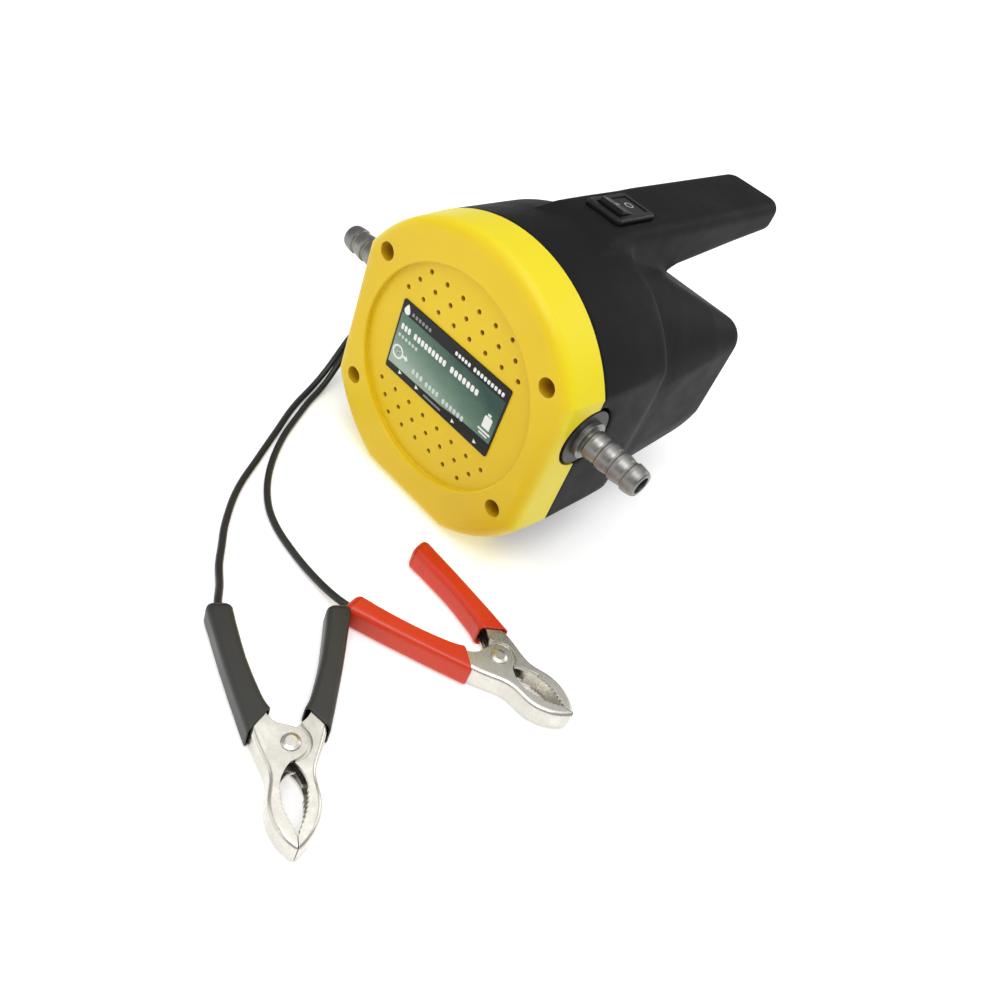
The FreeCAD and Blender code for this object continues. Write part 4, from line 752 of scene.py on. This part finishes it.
# rows of dashes: ink, u from, u to, v, bar height, count, gap in bar widths, slant
DASH_ROWS = (
    ("grey", 0.10, 0.285, 0.115, 0.05, 6, 0.40, 0.05),
    ("white", 0.515, 0.655, 0.115, 0.052, 5, 0.36, 0.0),
    ("white", 0.685, 0.96, 0.115, 0.058, 9, 0.36, 0.0),
    ("white", 0.04, 0.13, 0.345, 0.088, 3, 0.30, 0.0),
    ("white", 0.165, 0.475, 0.345, 0.088, 9, 0.30, 0.0),
    ("white", 0.52, 0.78, 0.345, 0.088, 7, 0.30, 0.0),
    ("pale", 0.035, 0.225, 0.475, 0.05, 6, 0.45, 0.0),
    ("pale", 0.235, 0.34, 0.775, 0.08, 3, 0.36, 0.0),
    ("pale", 0.37, 0.50, 0.785, 0.075, 4, 0.36, 0.0),
    ("pale", 0.54, 0.745, 0.80, 0.075, 6, 0.36, 0.0),
)
# outlines as (u, v)
NEEDLE = ((0.068, 0.715), (0.079, 0.725), (0.104, 0.655))
ARROW = (
    (0.128, 0.685), (0.152, 0.685), (0.152, 0.655), (0.176, 0.705),
    (0.152, 0.755), (0.152, 0.725), (0.128, 0.725),
)
CAN = (
    (0.892, 0.50), (0.948, 0.50), (0.954, 0.52), (0.954, 0.67), (0.886, 0.67), (0.886, 0.52),
)
CAN_NECK = ((0.904, 0.455), (0.934, 0.455), (0.934, 0.49), (0.904, 0.49))
ARROW_HEADS_U = (0.145, 0.315, 0.675, 0.885)  # along the lower band
ARROW_HEADS_V = 0.935


def label_point(u, v, y):
    return Vector((
        LABEL_LOW[0] + u * LABEL_WIDTH, LABEL_LOW[1] + y, LABEL_HIGH[2] - v * LABEL_HEIGHT,
    ))


def add_patch(bm, outline):
    """A thin printed patch."""
    front = [bm.verts.new(label_point(u, v, PRINT_FRONT)) for u, v in outline]
    back = [bm.verts.new(label_point(u, v, PRINT_BACK)) for u, v in outline]
    bm.faces.new(front)
    bm.faces.new(back[::-1])
    for i in range(len(outline)):
        j = (i + 1) % len(outline)
        bm.faces.new((front[i], back[i], back[j], front[j]))


def add_bar(bm, left, right, middle, height, slant=0.0):
    """A bar with rounded corners, centred on v = middle."""
    corner = min(height * 0.28, (right - left) * LABEL_ASPECT * 0.46)
    inset = corner / LABEL_ASPECT
    top, bottom = middle - height / 2 + corner, middle + height / 2 - corner
    outline = []
    for u, v, start in (
        (right - inset, top, -90), (right - inset, bottom, 0),
        (left + inset, bottom, 90), (left + inset, top, 180),
    ):
        for k in range(5):
            angle = math.radians(start + 22.5 * k)
            y = v + corner * math.sin(angle)
            outline.append((u + inset * math.cos(angle) - slant * (y - middle), y))
    add_patch(bm, outline)


def add_dashes(bm, left, right, middle, height, count, gap, slant):
    width = (right - left) / (count + gap * (count - 1))
    for _ in range(count):
        add_bar(bm, left, left + width, middle, height, slant)
        left += width + gap * width


def circle(u, v, radius, count):
    angles = [2 * math.pi * k / count for k in range(count)]
    return [
        (u + radius / LABEL_ASPECT * math.cos(a), v + radius * math.sin(a)) for a in angles
    ]


def add_hoop(bm, u, v, outer, inner, count):
    loops = []
    for radius, y in (
        (outer, PRINT_FRONT), (outer, PRINT_BACK), (inner, PRINT_BACK), (inner, PRINT_FRONT),
    ):
        loops.append([bm.verts.new(label_point(*p, y)) for p in circle(u, v, radius, count)])
    for first, second in zip(loops, loops[1:] + loops[:1]):
        join_rings(bm, first, second)


def drop_outline():
    """A drop with its point upwards, at the left of the upper band."""
    radius, count = 0.052, 28
    outline = []
    for k in range(count):
        angle = 2 * math.pi * k / count
        x, y = radius * math.cos(angle), radius * math.sin(angle)
        if y < 0:
            x *= 1 - 0.55 * abs(y / radius) ** 1.2
            y *= 1.7
        outline.append((0.052 + x / LABEL_ASPECT, 0.125 + y))
    return outline


def print_label():
    inks = {"white": bmesh.new(), "grey": bmesh.new(), "pale": bmesh.new()}
    white = inks["white"]
    add_patch(white, drop_outline())
    for ink, *dashes in DASH_ROWS:
        add_dashes(inks[ink], *dashes)
    # round dial with a needle and hub, and an arrow beside it
    add_hoop(white, 0.075, 0.70, outer=0.098, inner=0.07, count=28)
    add_patch(white, NEEDLE)
    add_patch(white, circle(0.075, 0.712, radius=0.02, count=16))
    add_patch(white, ARROW)
    # a small can over two lines
    add_patch(white, CAN)
    add_patch(white, CAN_NECK)
    add_bar(white, 0.865, 0.975, middle=0.715, height=0.03)
    add_bar(white, 0.882, 0.958, middle=0.76, height=0.024)
    # lower band
    v = ARROW_HEADS_V
    for u in ARROW_HEADS_U:
        add_patch(white, ((u - 0.014, v - 0.03), (u + 0.016, v), (u - 0.014, v + 0.03)))
    add_bar(inks["grey"], 0.385, 0.555, middle=0.94, height=0.026)

    colors = {
        "white": ("EDEFEA", "DFE4DC"), "pale": ("CBD6CC", "BCC9BE"), "grey": ("85868A", "77787C"),
    }
    materials = {
        ink: plastic("ink_" + ink, *pair, rough=(0.3, 0.4), grain=5200.0, bump=0.03)
        for ink, pair in colors.items()
    }
    for ink, bm in inks.items():
        new_piece("label_print_" + ink, bm, materials[ink], "root", smooth=False)


print_label()

# ---------------------------------------------------------------- switch marks
ROCKER_Z = 0.1052


def add_flat_torus(bm, centre, axis_x, axis_y, radius, thickness):
    around, section = 40, 10
    axis_z = axis_x.cross(axis_y)
    rings = []
    for i in range(around):
        angle = 2 * math.pi * i / around
        outward = axis_x * math.cos(angle) + axis_y * math.sin(angle)
        ring = []
        for j in range(section):
            turn = 2 * math.pi * j / section
            flat = outward * (radius + thickness * math.cos(turn))
            ring.append(bm.verts.new(centre + flat + axis_z * thickness * 0.35 * math.sin(turn)))
        rings.append(ring)
    for first, second in zip(rings, rings[1:] + rings[:1]):
        join_rings(bm, first, second)


def switch_marks():
    """A ring on the rocker's rear face and a line on its front face."""
    low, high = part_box("switch_housing")
    middle_y = (low[1] + high[1]) / 2
    rear = Vector((0, middle_y + 0.0077, ROCKER_Z + 0.00235))
    valley = Vector((0, middle_y + 0.00035, ROCKER_Z + 0.00248))
    front = Vector((0, middle_y - 0.00676, ROCKER_Z + 0.00438))
    axis_x = Vector((1, 0, 0))
    bm = bmesh.new()

    centre = valley.lerp(rear, 0.50) + Vector((0, 0, 0.00002))
    add_flat_torus(bm, centre, axis_x, (rear - valley).normalized(),
                   radius=0.00142, thickness=0.00030)

    along = (front - valley).normalized()
    centre = valley.lerp(front, 0.52)
    lift = along.cross(axis_x) * 0.00001
    line = [centre + along * t * 0.0012 + lift for t in (-1, -0.5, 0, 0.5, 1)]
    add_rod(bm, line, 0.00026, segments=10, samples=10)

    material = plastic("switch_mark", "A9A9AA", "98989A", rough=(0.35, 0.45), grain=4200.0,
                       bump=0.04)
    new_piece("switch_marks", bm, material, "rocker")


switch_marks()

# ---------------------------------------------------------------- stage
FLOOR_HALF = 14.0
LIGHT_TARGET = Vector((0.0, 0.0, 0.05))
# name, place, size, power in watts
LIGHTS = (
    ("key", (0.22, -0.42, 1.2), 0.75, 7.2),
    ("fill", (-0.5, -1.05, 0.6), 1.0, 2.5),
    ("top", (0.0, 0.15, 1.25), 1.2, 4.4),
    ("rim", (0.35, 1.0, 0.6), 0.6, 2.2),
)
WORLD_LIGHT, WORLD_SEEN = 0.42, 0.97  # strength as light, and as the camera sees it


def floor():
    mesh = bpy.data.meshes.new("floor")
    bm = bmesh.new()
    corners = ((-1, -1), (1, -1), (1, 1), (-1, 1))
    bm.faces.new([bm.verts.new((x * FLOOR_HALF, y * FLOOR_HALF, 0.0)) for x, y in corners])
    bm.to_mesh(mesh)
    bm.free()
    piece = bpy.data.objects.new("floor", mesh)
    bpy.context.scene.collection.objects.link(piece)

    m = Mat("floor_pale")
    mottle = m.remap(m.noise(3.0, detail=3.0), 0.3, 0.7)
    distance = m.node("ShaderNodeVectorMath", operation="LENGTH")
    m.link(m.position, distance.inputs[0])
    # the floor glows more away from the middle, to meet the white backdrop
    glow = m.remap(distance.outputs["Value"], 0.2, 1.2, to=(0.3, 0.78))
    mesh.materials.append(m.finish(
        Base_Color=m.mix(mottle, (0.91, 0.91, 0.91), (0.94, 0.94, 0.94)),
        Roughness=0.7,
        Emission_Color=(1.0, 1.0, 1.0),
        Emission_Strength=glow,
    ))


def area_light(name, place, size, power):
    light = bpy.data.lights.new(name, "AREA")
    light.energy = power
    light.size = size
    lamp = bpy.data.objects.new(name, light)
    bpy.context.scene.collection.objects.link(lamp)
    lamp.location = place
    lamp.rotation_euler = (LIGHT_TARGET - Vector(place)).to_track_quat("-Z", "Y").to_euler()


def white_world():
    world = bpy.data.worlds.new("world")
    bpy.context.scene.world = world
    world.use_nodes = True
    tree = world.node_tree
    background = tree.nodes.get("Background")
    color, strength = background.inputs[0], background.inputs[1]
    color.default_value = (1, 1, 1, 1)
    strength.default_value = WORLD_LIGHT
    # camera rays see a brighter backdrop than the one that lights the scene
    rays = tree.nodes.new("ShaderNodeLightPath")
    switch = tree.nodes.new("ShaderNodeMapRange")
    switch.inputs[3].default_value = WORLD_LIGHT  # to min
    switch.inputs[4].default_value = WORLD_SEEN  # to max
    tree.links.new(rays.outputs["Is Camera Ray"], switch.inputs[0])
    tree.links.new(switch.outputs[0], strength)


floor()
for light_row in LIGHTS:
    area_light(*light_row)
white_world()
bpy.context.scene.view_settings.view_transform = "Standard"

# ---------------------------------------------------------------- camera
CAMERA_PLACE = Vector((0.139674153, -0.2060227, 0.213963312))
# the camera's own axes in the world: it looks along minus CAMERA_BACK
CAMERA_RIGHT = (0.66912153, 0.67506861, 0.31073904)
CAMERA_UP = (-0.63580138, 0.30353704, 0.70966321)
CAMERA_BACK = (0.38475055, -0.67241924, 0.63231272)


def add_camera():
    camera = bpy.data.cameras.new("camera")
    holder = bpy.data.objects.new("camera", camera)
    bpy.context.scene.collection.objects.link(holder)
    turn = Matrix((CAMERA_RIGHT, CAMERA_UP, CAMERA_BACK)).transposed()
    holder.matrix_world = Matrix.Translation(CAMERA_PLACE) @ turn.to_4x4()
    camera.sensor_width = 36.0
    camera.lens = 31.7479212
    camera.shift_x = 0.0105667
    camera.shift_y = -0.0207607
    camera.clip_start = 0.01
    camera.clip_end = 20.0
    bpy.context.scene.camera = holder


add_camera()
